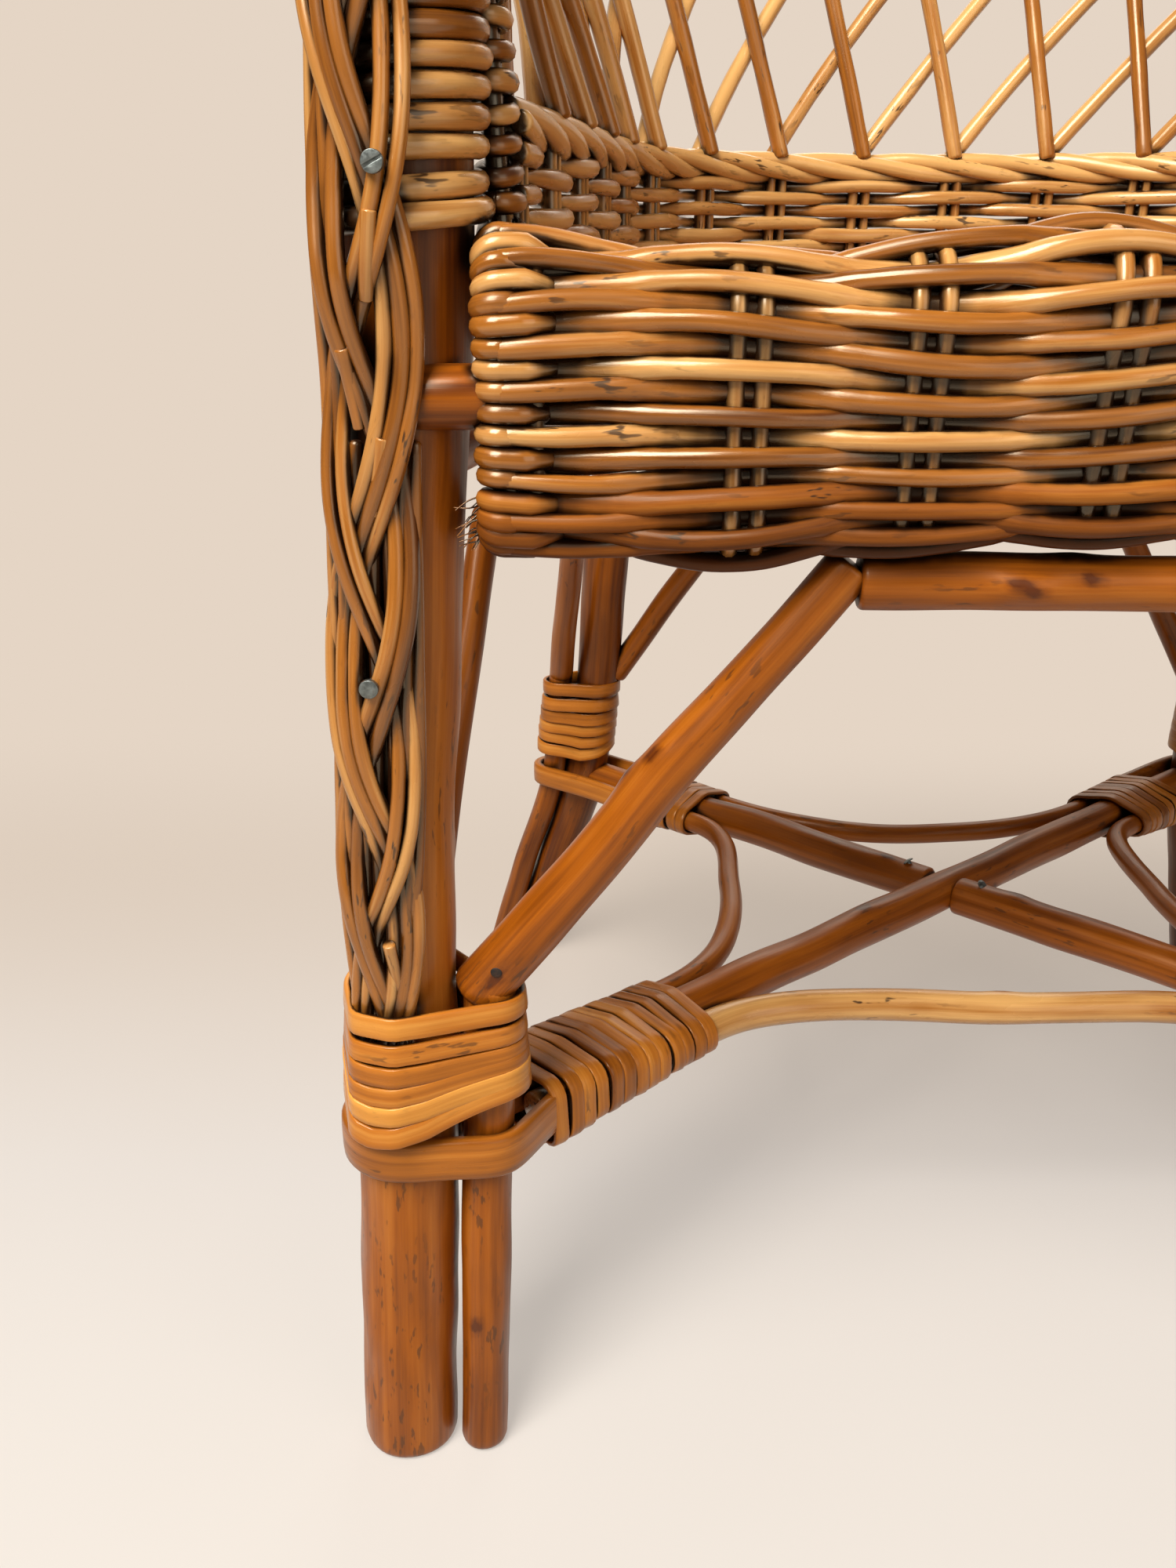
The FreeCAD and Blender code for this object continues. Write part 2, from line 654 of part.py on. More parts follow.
def strap(label, stations, height):
    """Bow end shaved to a strap with rounded edges, as high as the bow is thick."""
    start, heading = stations[0]
    side_on = unit(heading.cross(UP))
    half_thick = size("loop_thickness") / 2
    flat = height / 2 - half_thick
    corners = [
        start + side_on * (a * half_thick) + UP * (b * flat) for a, b in ((-1, -1), (1, -1), (1, 1), (-1, 1))
    ]
    tips = [start + UP * (b * height / 2) for b in (-1, 1)]
    outline = Part.Wire([
        Part.Arc(corners[0], tips[0], corners[1]).toShape(),
        Part.LineSegment(corners[1], corners[2]).toShape(),
        Part.Arc(corners[2], tips[1], corners[3]).toShape(),
        Part.LineSegment(corners[3], corners[0]).toShape(),
    ])
    shell = Part.BRepOffsetAPI.MakePipeShell(smooth_wire(stations))
    shell.setBiNormalMode(UP)
    shell.add(outline)
    shell.build()
    shell.makeSolid()
    band = doc.addObject("Part::Feature", label + "_strap")
    band.Shape = shell.shape()
    return keep(band, label)


for word, side in SIDES:
    poles = [
        (front_corner[side], leg_radius),
        (front_doubler_at(side, stretcher_z), size("doubler_diameter") / 2),
    ]
    stations = loop_stations(front_corner[side], poles, front_lane)
    strap("front_leg_loop_" + word, stations, size("bow_diameter"))
    poles = [
        (rear_corner[side], rear_radius),
        (rear_doubler_at(side, stretcher_z), size("rear_doubler_diameter") / 2),
    ]
    stations = loop_stations(rear_corner[side], poles, thin_lane)
    strap("rear_leg_loop_" + word, stations, size("thin_bow_diameter"))

# Bindings of split cane, and the rod coiled round each arm post


def turns_path(origin, axis, right, reaches, turns, pitch):
    """Stations of a winding; reaches are right, up, left and down of the axis."""
    up = axis.cross(right)
    spots = [right * reaches[0], up * reaches[1], right * -reaches[2], up * -reaches[3]]
    headings = [up, -right, -up, right]
    around = math.pi * sum(reaches) / 2
    stations = []
    for quarter in range(4 * int(turns) + 1):
        point = origin + spots[quarter % 4] + axis * (pitch * quarter / 4)
        stations.append((point, unit(headings[quarter % 4] + axis * (pitch / around))))
    return stations


def least_gap(wire, turns, width):
    """Smallest room between a turn and the next, measured on points."""
    per_turn = 72
    points = wire.discretize(Number=per_turn * int(turns) + 1)
    closest = min(
        (points[n] - points[m]).Length
        for n in range(0, len(points) - per_turn // 2)
        for m in range(n + per_turn // 2, min(n + 3 * per_turn // 2, len(points)))
    )
    return closest - width


def binding(label, origin, axis, right, reaches, turns):
    """Flat cane wound round a bundle, its width kept along the bundle."""
    width = size("cane_width")
    thickness = size("cane_thickness")
    axis = unit(axis)
    right = unit(right - axis * right.dot(axis))
    outside = [reach + gap + thickness / 2 for reach in reaches]
    stations = turns_path(origin, axis, right, outside, turns, size("cane_pitch"))
    path = smooth_wire(stations)
    start = stations[0][0]
    corners = [
        start + right * (a * thickness / 2) + axis * (b * width / 2)
        for a, b in ((-1, -1), (1, -1), (1, 1), (-1, 1), (-1, -1))
    ]
    shell = Part.BRepOffsetAPI.MakePipeShell(path)
    shell.setBiNormalMode(axis)
    shell.add(Part.makePolygon(corners))
    shell.build()
    shell.makeSolid()
    strip = doc.addObject("Part::Feature", label + "_cane")
    strip.Shape = shell.shape()
    room = least_gap(path, turns, width)
    print("%s least gap %.2f mm, volume over section times length %.4f" % (
        label, room, strip.Shape.Volume / (width * thickness * path.Length)))
    return keep(strip, label)


for word, side in SIDES:
    for name, leg_at, doubler_at, leg_r, doubler in (
        ("front", front_leg_at, front_doubler_at, leg_radius, "doubler_diameter"),
        ("rear", rear_leg_at, rear_doubler_at, rear_radius, "rear_doubler_diameter"),
    ):
        origin = leg_at(side, wrap_bottom)
        axis = leg_at(side, wrap_top) - origin
        right = doubler_at(side, wrap_bottom) - origin
        reaches = (right.Length + size(doubler) / 2, leg_r, leg_r, leg_r)
        binding("%s_leg_binding_%s" % (name, word), origin, axis, right, reaches, size("leg_wrap_turns"))

    corner = front_corner[side]
    along = unit(middle - corner)
    outer = UP.cross(along) * side
    reaches = (front_lane + bow_radius, cross_radius, thin_lane + thin_bow_radius, cross_radius)
    start = corner + along * corner_start
    binding("front_corner_binding_" + word, start, along, outer, reaches, size("front_corner_turns"))
    corner = rear_corner[side]
    along = unit(middle - corner)
    outer = UP.cross(along) * side
    reaches = (thin_lane + thin_bow_radius, cross_radius, thin_lane + thin_bow_radius, cross_radius)
    start = corner + along * corner_start
    binding("rear_corner_binding_" + word, start, along, outer, reaches, size("rear_corner_turns"))

    rod_radius = size("coil_rod_diameter") / 2
    coil_start = apron_top + rod_radius + size("coil_start_rise")
    origin = front_leg_at(side, coil_start)
    axis = unit(front_leg_at(side, arm_z) - origin)
    right = unit(BACK - axis * BACK.dot(axis))
    reach = leg_radius + gap + rod_radius
    coil_turns = int((arm_z - size("coil_top_drop") - coil_start) / size("coil_pitch"))
    stations = turns_path(origin, axis, right, [reach] * 4, coil_turns, size("coil_pitch"))
    wire = smooth_wire(stations)
    ring = Part.Wire([Part.Circle(stations[0][0], stations[0][1], rod_radius).toShape()])
    rod = doc.addObject("Part::Feature", "post_coil_rod_" + word)
    rod.Shape = wire.makePipeShell([ring], True, False)
    print("post_coil_%s least gap %.2f mm, volume over section times length %.4f" % (
        word, least_gap(wire, coil_turns, 2 * rod_radius),
        rod.Shape.Volume / (math.pi * rod_radius ** 2 * wire.Length)))
    keep(less("post_coil_fitted_" + word, rod, [plait_nails]), "post_coil_" + word)

# Plaits on the front of the legs, from the binding up and over the arm

for word, side in SIDES:
    def plait_point(height, reach):
        """Point in front of the leg's axis."""
        return front_leg_at(side, height) + Vector(side * size("plait_offset"), -reach, 0)

    lean = unit(front_leg_at(side, arm_z) - front_leg_at(side, 0))
    crest = arm_z + size("rim_plait_diameter") / 2 - size("plait_thickness") / 2
    bend = plait_high * 0.85
    over = plait_point(crest, plait_high - bend)
    stations = [
        (plait_point(wrap_top + gap, plait_low), lean),
        (plait_point(size("rail_height"), plait_low), lean),
        (plait_point(apron_top, plait_high), lean),
        (plait_point(crest - bend, plait_high), lean),
        (over, BACK),
        (Vector(over.x, leg_y + leg_radius + size("rim_plait_gap"), over.z), BACK),
    ]
    path = smooth_wire(stations)
    sideways = unit(lean.cross(BACK))
    half_width = size("plait_width") / 2
    half_thick = size("plait_thickness") / 2
    start = stations[0][0]
    flat = half_width - half_thick
    corners = [
        start + sideways * (a * flat) + BACK * (b * half_thick) for a, b in ((-1, -1), (1, -1), (1, 1), (-1, 1))
    ]
    tips = [start + sideways * (a * half_width) for a in (1, -1)]
    outline = Part.Wire([
        Part.LineSegment(corners[0], corners[1]).toShape(),
        Part.Arc(corners[1], tips[0], corners[2]).toShape(),
        Part.LineSegment(corners[2], corners[3]).toShape(),
        Part.Arc(corners[3], tips[1], corners[0]).toShape(),
    ])
    shell = Part.BRepOffsetAPI.MakePipeShell(path)
    shell.setBiNormalMode(sideways)
    shell.add(outline)
    shell.build()
    shell.makeSolid()
    plait = doc.addObject("Part::Feature", "leg_plait_whole_" + word)
    plait.Shape = shell.shape()
    keep(less("leg_plait_fitted_" + word, plait, [plait_nails]), "leg_plait_" + word)

# Woven seat, band and border, all on one plan curve

seat_front = leg_y + leg_radius + size("seat_front_gap")
border_half = size("front_rail_spacing") / 2 - leg_radius - size("border_side_gap")


def border_edges(offset, z):
    """Plan curve of the band: two sides that close in, two bends and a short back."""
    taper = math.radians(size("border_taper"))
    along = Vector(math.sin(taper), math.cos(taper), 0)
    outward = Vector(-math.cos(taper), math.sin(taper), 0)
    back_y = leg_y + size("border_setback") + offset
    radius = size("border_corner") + offset
    start = Vector(-border_half, seat_front, z) + outward * offset
    start = start + along * ((seat_front - start.y) / along.y)
    corner = start + along * ((back_y - start.y) / along.y)
    reach = radius * math.tan((math.pi / 2 - taper) / 2)
    bend_start = corner - along * reach
    bend_end = corner + across * reach
    centre = bend_end - BACK * radius
    bend_middle = centre + unit((bend_start + bend_end) * 0.5 - centre) * radius
    left = [start, bend_start, bend_middle, bend_end]
    right = [mirrored(point) for point in left]
    return [
        Part.LineSegment(left[0], left[1]).toShape(),
        Part.Arc(left[1], left[2], left[3]).toShape(),
        Part.LineSegment(left[3], right[3]).toShape(),
        Part.Arc(right[3], right[2], right[1]).toShape(),
        Part.LineSegment(right[1], right[0]).toShape(),
    ]


def raised(name, edges, height):
    """Flat outline raised to a solid; its height is a named cell."""
    outline = doc.addObject("Part::Feature", name + "_outline")
    outline.Shape = Part.Face(Part.Wire(Part.__sortEdges__(edges)))
    solid = doc.addObject("Part::Extrusion", name)
    solid.Base = outline
    solid.DirMode = "Custom"
    solid.Dir = UP
    solid.setExpression("LengthFwd", "sizes." + height)
    solid.Solid = True
    return solid


def joined_ends(one, other):
    """Straight edges that join the ends of two plan curves, or the two ends of one."""
    ends = [(curve[0].Vertexes[0].Point, curve[-1].Vertexes[-1].Point) for curve in (one, other)]
    if one is other:
        return [Part.LineSegment(*ends[0]).toShape()]
    return [Part.LineSegment(ends[0][n], ends[1][n]).toShape() for n in (0, 1)]


half_band = size("band_thickness") / 2


def seat_rows():
    """Rods of the seat as strips side by side, each over one stake and under the next."""
    pitch = size("seat_row_pitch")
    spacing = size("seat_stake_spacing")
    swing = size("seat_rod_swing")
    half = size("seat_thickness") / 2 - swing
    level = (seat_bottom + seat_top) / 2
    stakes = math.ceil((border_half + half_band) / spacing)
    rows = math.ceil((leg_y + size("border_setback") + half_band - seat_front) / pitch)
    strips = []
    for row in range(rows):
        y = seat_front + row * pitch
        line = []
        for stake in range(-stakes, stakes + 1):
            rise = swing if (stake + row) % 2 else -swing
            line.append(Vector(stake * spacing, y, level + rise))
        corners = [point + UP * half for point in line] + [point - UP * half for point in reversed(line)]
        face = Part.Face(Part.makePolygon(corners + corners[:1]))
        strips.append(face.extrude(BACK * pitch))
    return strips[0].fuse(strips[1:])


outer = border_edges(half_band, seat_bottom)
inner = border_edges(-half_band, seat_bottom)
panel = doc.addObject("Part::Feature", "seat_panel_rows")
panel.Shape = seat_rows()
inside = raised("seat_panel_room", inner + joined_ends(inner, inner), "seat_thickness")
panel = between("seat_panel", panel, inside)
edge = raised("seat_edge", outer + inner + joined_ends(outer, inner), "seat_thickness")
seat = doc.addObject("Part::Fuse", "seat_whole")
seat.Base = panel
seat.Tool = edge
keep(seat, "seat_weave")

outer = border_edges(half_band, seat_top)
inner = border_edges(-half_band, seat_top)
keep(raised("seat_band_ring", outer + inner + joined_ends(outer, inner), "band_height"), "seat_band")

border_z = band_top + size("border_diameter") / 2
border_path = doc.addObject("Part::Feature", "border_path")
border_path.Shape = Part.Wire(border_edges(0, border_z))
border_ring = doc.addObject("Part::Circle", "border_ring")
border_ring.setExpression("Radius", "sizes.border_diameter / 2")
first_edge = border_path.Shape.Edges[0]
border_ring.Placement = Placement(first_edge.Vertexes[0].Point, Rotation(UP, first_edge.tangentAt(0)))
border = doc.addObject("Part::Sweep", "border_rod")
border.Sections = [border_ring]
border.Spine = (border_path, ["Edge%d" % n for n in range(1, 6)])
border.Solid = True
keep(border, "waling_border")

# Woven apron, a hollow roll over the front rail


def make_apron():
    """Apron profile drawn in the YZ plane and padded across the chair."""
    body = doc.addObject("PartDesign::Body", "apron_body")
    sketch = body.newObject("Sketcher::SketchObject", "apron_profile")
    plane = [f for f in body.Origin.OriginFeatures if f.Role == "YZ_Plane"][0]
    sketch.AttachmentSupport = [(plane, "")]
    sketch.MapMode = "FlatFace"
    wall = size("apron_wall")
    crest = apron_top
    face = leg_y - size("apron_reach")
    under = bar_z + size("bar_diameter") / 2 + gap
    heel = seat_front - gap
    round_top = size("apron_crest_radius")
    round_foot = size("apron_foot_radius")
    foot = leg_y + leg_radius / 2

    def bow(centre_y, centre_z, radius, start, end):
        """Three points of an arc between two bearings in degrees."""
        bearings = [math.radians(a) for a in (start, (start + end) / 2, end)]
        centre = Vector(centre_y, centre_z, 0)
        return [centre + Vector(math.cos(a), math.sin(a), 0) * radius for a in bearings]

    top_out = bow(face + round_top, crest - round_top, round_top, 90, 180)
    foot_out = bow(face + round_foot, under + round_foot, round_foot, 180, 270)
    foot_in = bow(face + round_foot, under + round_foot, round_foot - wall, 270, 180)
    top_in = bow(face + round_top, crest - round_top, round_top - wall, 180, 90)
    outline = [
        [Vector(heel, seat_top, 0), top_out[0]],
        top_out,
        [top_out[2], foot_out[0]],
        foot_out,
        [foot_out[2], Vector(foot, under, 0)],
        [Vector(foot, under, 0), Vector(foot, under + wall, 0)],
        [Vector(foot, under + wall, 0), foot_in[0]],
        foot_in,
        [foot_in[2], top_in[0]],
        top_in,
        [top_in[2], Vector(heel, seat_top - wall, 0)],
        [Vector(heel, seat_top - wall, 0), Vector(heel, seat_top, 0)],
    ]
    for points in outline:
        if len(points) == 2:
            sketch.addGeometry(Part.LineSegment(points[0], points[1]), False)
        else:
            sketch.addGeometry(Part.Arc(points[0], points[1], points[2]), False)
    pad = body.newObject("PartDesign::Pad", "apron_pad")
    pad.Profile = sketch
    pad.Midplane = True
    pad.setExpression("Length", "sizes.front_rail_spacing - sizes.leg_diameter - 2 * sizes.apron_end_gap")
    return keep(body, "front_apron")


make_apron()

# Lattice of the back and sides, two layers of leaning rods

doc.recompute()
lattice_radius = size("lattice_diameter") / 2
low_wire = Part.Wire(border_edges(0, band_top + size("border_diameter") - lattice_radius / 3))
high_wire = smooth_wire(plait_stations)
SAMPLES = 400
low_points = low_wire.discretize(Number=SAMPLES + 1)
high_points = high_wire.discretize(Number=SAMPLES + 1)


def along_points(points, share):
    """Point of a sampled curve at a share of its length."""
    place = min(max(share, 0.0), 1.0) * SAMPLES
    first = min(int(place), SAMPLES - 1)
    return points[first] + (points[first + 1] - points[first]) * (place - first)


def wall_outward(share):
    """Level direction out of the tub wall."""
    step = 1.0 / SAMPLES
    run = along_points(low_points, share + step) - along_points(low_points, share - step)
    return unit(run.cross(UP)) * -1


def rim_stretch(share):
    """The rim's plaited border on both sides of a share of its length."""
    reach = int(size("rim_strands"))
    nearest = round(share * (len(rim_outlines) - 1))
    return Part.makeLoft(rim_outlines[max(nearest - reach, 0):nearest + reach + 1], True, True)


def lattice_rod(start, lean, offset):
    """One rod that leans along the wall, trimmed at border and rim, or nothing if too short."""
    steps = 24
    share = start
    end_share = start
    points = []
    for step in range(steps + 1):
        low = along_points(low_points, share)
        high = along_points(high_points, share)
        if 0 <= share <= 1:
            points.append(low + (high - low) * (step / steps) + wall_outward(share) * offset)
            end_share = share
        share += lean * (high - low).Length / steps / low_wire.Length
    if len(points) < steps / 3:
        return None
    arc = Part.Arc(points[0], points[len(points) // 2], points[-1])
    edge = arc.toShape()
    ring = Part.Circle(points[0], edge.tangentAt(edge.FirstParameter), lattice_radius)
    rod = Part.Wire([edge]).makePipeShell([Part.Wire([ring.toShape()])], True, False)
    rod = rod.cut([border.Shape, rim_stretch(end_share)])
    return max(rod.Solids, key=lambda solid: solid.Volume)


def lattice(label, degrees, offset):
    """Every rod of one layer."""
    lean = math.tan(math.radians(degrees))
    step = size("lattice_spacing") / low_wire.Length
    spare = int(abs(lean) * back_z / size("lattice_spacing")) + 1
    count = int(1 / step)
    margin = (1 - count * step) / 2
    rods = []
    for n in range(-spare, count + spare + 1):
        rod = lattice_rod(margin + n * step, lean, offset)
        if rod is not None:
            rods.append(rod)
    layer = doc.addObject("Part::Feature", label + "_rods")
    layer.Shape = Part.makeCompound(rods)
    print(label, len(rods), "rods")
    return keep(layer, label)


layer_offset = lattice_radius + gap / 2
lattice("lattice_inner", -size("steep_lean"), -layer_offset)
lattice("lattice_outer", size("slack_lean"), layer_offset)

# Every piece is tested before any is written

doc.recompute()
for item in doc.Objects:
    if "Invalid" in item.State or "Error" in item.State:
        raise RuntimeError("%s did not compute: %s" % (item.Label, item.State))
for item in nodes:
    shape = item.Shape
    if shape.isNull() or not shape.isValid() or not shape.Solids:
        raise RuntimeError("%s has no valid solid" % item.Label)
for item in nodes:
    item.Shape.exportStep("parts/%s.step" % item.Label)
whole = Part.makeCompound([item.Shape for item in nodes]).BoundBox
print("pieces", len(nodes), "box", [round(v, 1) for v in (
    whole.XMin, whole.YMin, whole.ZMin, whole.XMax, whole.YMax, whole.ZMax)])
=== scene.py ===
"""Child's willow armchair, dressed pole by pole and rod by rod.

Lengths are millimetres in the chair's own frame until a mesh is written, which is in metres.
The front faces -Y, left is -X as seen from the front, and the floor is at Z 0.
"""
import bpy
import itertools
import math
import numpy as np
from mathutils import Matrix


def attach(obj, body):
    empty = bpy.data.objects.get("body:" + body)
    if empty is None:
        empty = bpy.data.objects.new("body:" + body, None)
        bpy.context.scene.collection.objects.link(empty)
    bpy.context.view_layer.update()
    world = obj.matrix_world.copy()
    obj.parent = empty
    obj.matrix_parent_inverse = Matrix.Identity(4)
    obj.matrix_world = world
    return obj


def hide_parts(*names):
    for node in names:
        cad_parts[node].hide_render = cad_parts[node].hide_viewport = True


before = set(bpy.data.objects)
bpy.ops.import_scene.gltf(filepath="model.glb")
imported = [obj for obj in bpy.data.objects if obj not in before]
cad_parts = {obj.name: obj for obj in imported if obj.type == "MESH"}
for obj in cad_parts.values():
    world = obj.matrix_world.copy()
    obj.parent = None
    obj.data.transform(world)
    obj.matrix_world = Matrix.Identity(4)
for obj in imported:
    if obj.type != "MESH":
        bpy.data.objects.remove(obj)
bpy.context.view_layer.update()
bpy.ops.object.select_all(action="DESELECT")

MM = 0.001
FULL_TURN = 2 * math.pi
SIGNS = (-1, 1)
SIDES = (("left", -1), ("right", 1))
UP = np.array((0.0, 0.0, 1.0))
BACK = np.array((0.0, 1.0, 0.0))
ACROSS = np.array((1.0, 0.0, 0.0))

# Places and thicknesses of the frame, the same as the solids have

LEG_Y = -130.725
LEG_RADIUS = 12.5
LEG_FOOT_X = 166.5
LEG_DRAWN_IN = 11.0
DOUBLER_RADIUS = 6.3
DOUBLER_INWARD = 20.35
DOUBLER_FORWARD = 3.22
REAR_RADIUS = 8.25
REAR_DOUBLER_RADIUS = 4.6
REAR_DOUBLER_OUTWARD = 13.28
REAR_DOUBLER_FORWARD = 2.1
RAIL_Z = 275.5
SIDE_RAIL_Z = 259.5
BAR_Z = 238.5
CROSS_Z = 97.0
CROSS_RADIUS = 6.5
REAR_LEG_Z = (0, CROSS_Z, RAIL_Z)
REAR_LEG_X = (151.5, 124.5, 108.0)
REAR_LEG_BACK = (268.0, 241.0, 200.0)
BOW_RADIUS = 4.7
THIN_BOW_RADIUS = 3.7
BOW_START = 31.0
WRAP_TOP = 144.6
SEAT_BOTTOM = 281.8
SEAT_TOP = 290.2
BAND_TOP = 320.2
SEAT_FRONT = LEG_Y + LEG_RADIUS + 2
APRON_TOP = 302.5
APRON_FACE = LEG_Y - 17
APRON_UNDER = 244.6
APRON_HALF = 139.2
ARM_Z = 429.0
BACK_Z = 560.0
FIT = 0.3


def front_leg_at(side, z):
    """Point of a front leg's axis at a height."""
    return np.array((side * (LEG_FOOT_X - LEG_DRAWN_IN * z / RAIL_Z), LEG_Y, z))


def rear_leg_at(side, z):
    """Point of a rear leg's axis at a height; the leg bends at the cross."""
    x = np.interp(z, REAR_LEG_Z, REAR_LEG_X)
    return np.array((side * x, LEG_Y + np.interp(z, REAR_LEG_Z, REAR_LEG_BACK), z))


def front_doubler_at(side, z):
    """Axis of the short pole on the inner side of a front leg."""
    return front_leg_at(side, z) + np.array((-side * DOUBLER_INWARD, -DOUBLER_FORWARD, 0))


def rear_doubler_at(side, z):
    """Axis of the short pole on the outer side of a rear leg."""
    return rear_leg_at(side, z) + np.array((side * REAR_DOUBLER_OUTWARD, -REAR_DOUBLER_FORWARD, 0))


# Paths

CURVE_POINTS = 40
DRIFT_PARTS = (1.0, 0.57, 0.31)


def unit(vector):
    """Vector of length one in the same direction."""
    return vector / np.linalg.norm(vector)


def normalised(vectors):
    """Each row of an array at length one."""
    return vectors / np.linalg.norm(vectors, axis=1)[:, None]


def headings(path):
    """Direction of a path at each of its points."""
    return normalised(np.gradient(path, axis=0))


def facing(outward, away):
    """Directions turned over if on the whole they face inwards."""
    return outward if np.sum(outward[:, :away.shape[1]] * away) > 0 else -outward


def lengths(path):
    """Distance from the start at each point of a path."""
    runs = np.linalg.norm(np.diff(path, axis=0), axis=1)
    return np.concatenate(([0.0], np.cumsum(runs)))


def along_line(places, marks, points):
    """Points of a line at places between its marks."""
    return np.stack([np.interp(places, marks, column) for column in np.transpose(points)], axis=-1)


def even(path, step):
    """The same path with its points at even steps."""
    path = np.asarray(path, float)
    marks = lengths(path)
    count = max(int(round(marks[-1] / step)), 3)
    return along_line(np.linspace(0, marks[-1], count + 1), marks, path)


def smoothed(path, times):
    """The same path with its corners eased and its ends held."""
    path = path.copy()
    for _ in range(times):
        path[1:-1] = (path[:-2] + 2 * path[1:-1] + path[2:]) / 4
    return path


def through(stations, step):
    """Smooth path through stations of a point and a heading."""
    pieces = []
    share = np.linspace(0, 1, CURVE_POINTS)[:, None]
    for (start, heading), (end, end_heading) in zip(stations, stations[1:]):
        first, last = unit(heading), unit(end_heading)
        turn = math.acos(max(-1.0, min(1.0, float(first @ last))))
        pull = np.linalg.norm(end - start)
        if turn > 0.01:
            pull *= 2 * math.tan(turn / 4) / math.sin(turn / 2)
        a = 2 * share ** 3 - 3 * share ** 2 + 1
        b = share ** 3 - 2 * share ** 2 + share
        c = 3 * share ** 2 - 2 * share ** 3
        d = share ** 3 - share ** 2
        pieces.append(a * start + b * first * pull + c * end + d * last * pull)
    return even(np.concatenate(pieces), step)


def eased(points, step):
    """Smooth path through plain points."""
    points = np.asarray(points, float)
    before = np.concatenate((points[:1], points[:-1]))
    after = np.concatenate((points[1:], points[-1:]))
    return through(list(zip(points, after - before)), step)


def trimmed(start, end, start_trim, end_trim):
    """Straight run with its ends drawn in, or let out where a trim is negative."""
    run = unit(end - start)
    return start + run * start_trim, end - run * end_trim


def crosswise(half, y, z):
    """Straight run across the chair."""
    return (-half, y, z), (half, y, z)


def drift(marks, wave, amount, rng):
    """Slow random wander along a length."""
    total = np.zeros_like(marks)
    for part in DRIFT_PARTS:
        total += part * np.sin(FULL_TURN * marks / (wave * part) + rng.uniform(0, FULL_TURN))
    return total * amount / sum(DRIFT_PARTS)


# Sweeping poles, rods and cane into meshes

SIDES_OF_ROD = 10
ROD_WAVE = 37.0
CAP_DEGREES = (30, 60, 90)
CAP_ROWS = len(CAP_DEGREES)
GRAIN_SPREAD = 400
FILL_STEP = 1.3
FILL_DEPTH = 0.85
PIECES = []
FILLING = []


def round_section(sides):
    """Points of a circle of radius one."""
    turns = np.arange(sides) * (FULL_TURN / sides)
    return np.stack((np.cos(turns), np.sin(turns)), axis=1)


def strip_section(width, thickness):
    """Split cane: flat against the bundle and a little crowned outside; first along, then out."""
    crown = ((1.0, 0.1), (0.98, 0.6), (0.93, 0.85), (0.84, 0.95), (0.45, 0.99))
    mirrored = tuple((-wide, high) for wide, high in reversed(crown))
    inside = ((-0.8, -0.1), (0.8, -0.1))
    return np.array(crown + mirrored + inside) * (width / 2, thickness)


def carried(heading):
    """Side directions carried along a path without twisting."""
    side_on = UP if abs(heading[0][2]) < 0.8 else BACK
    directions = np.empty_like(heading)
    for index, ahead in enumerate(heading):
        side_on = unit(side_on - ahead * (side_on @ ahead))
        directions[index] = side_on
    return directions


def with_caps(rows):
    """Rows of values with the end rows repeated for the rounded ends."""
    return np.concatenate((rows[[0] * CAP_ROWS], rows, rows[[-1] * CAP_ROWS]))


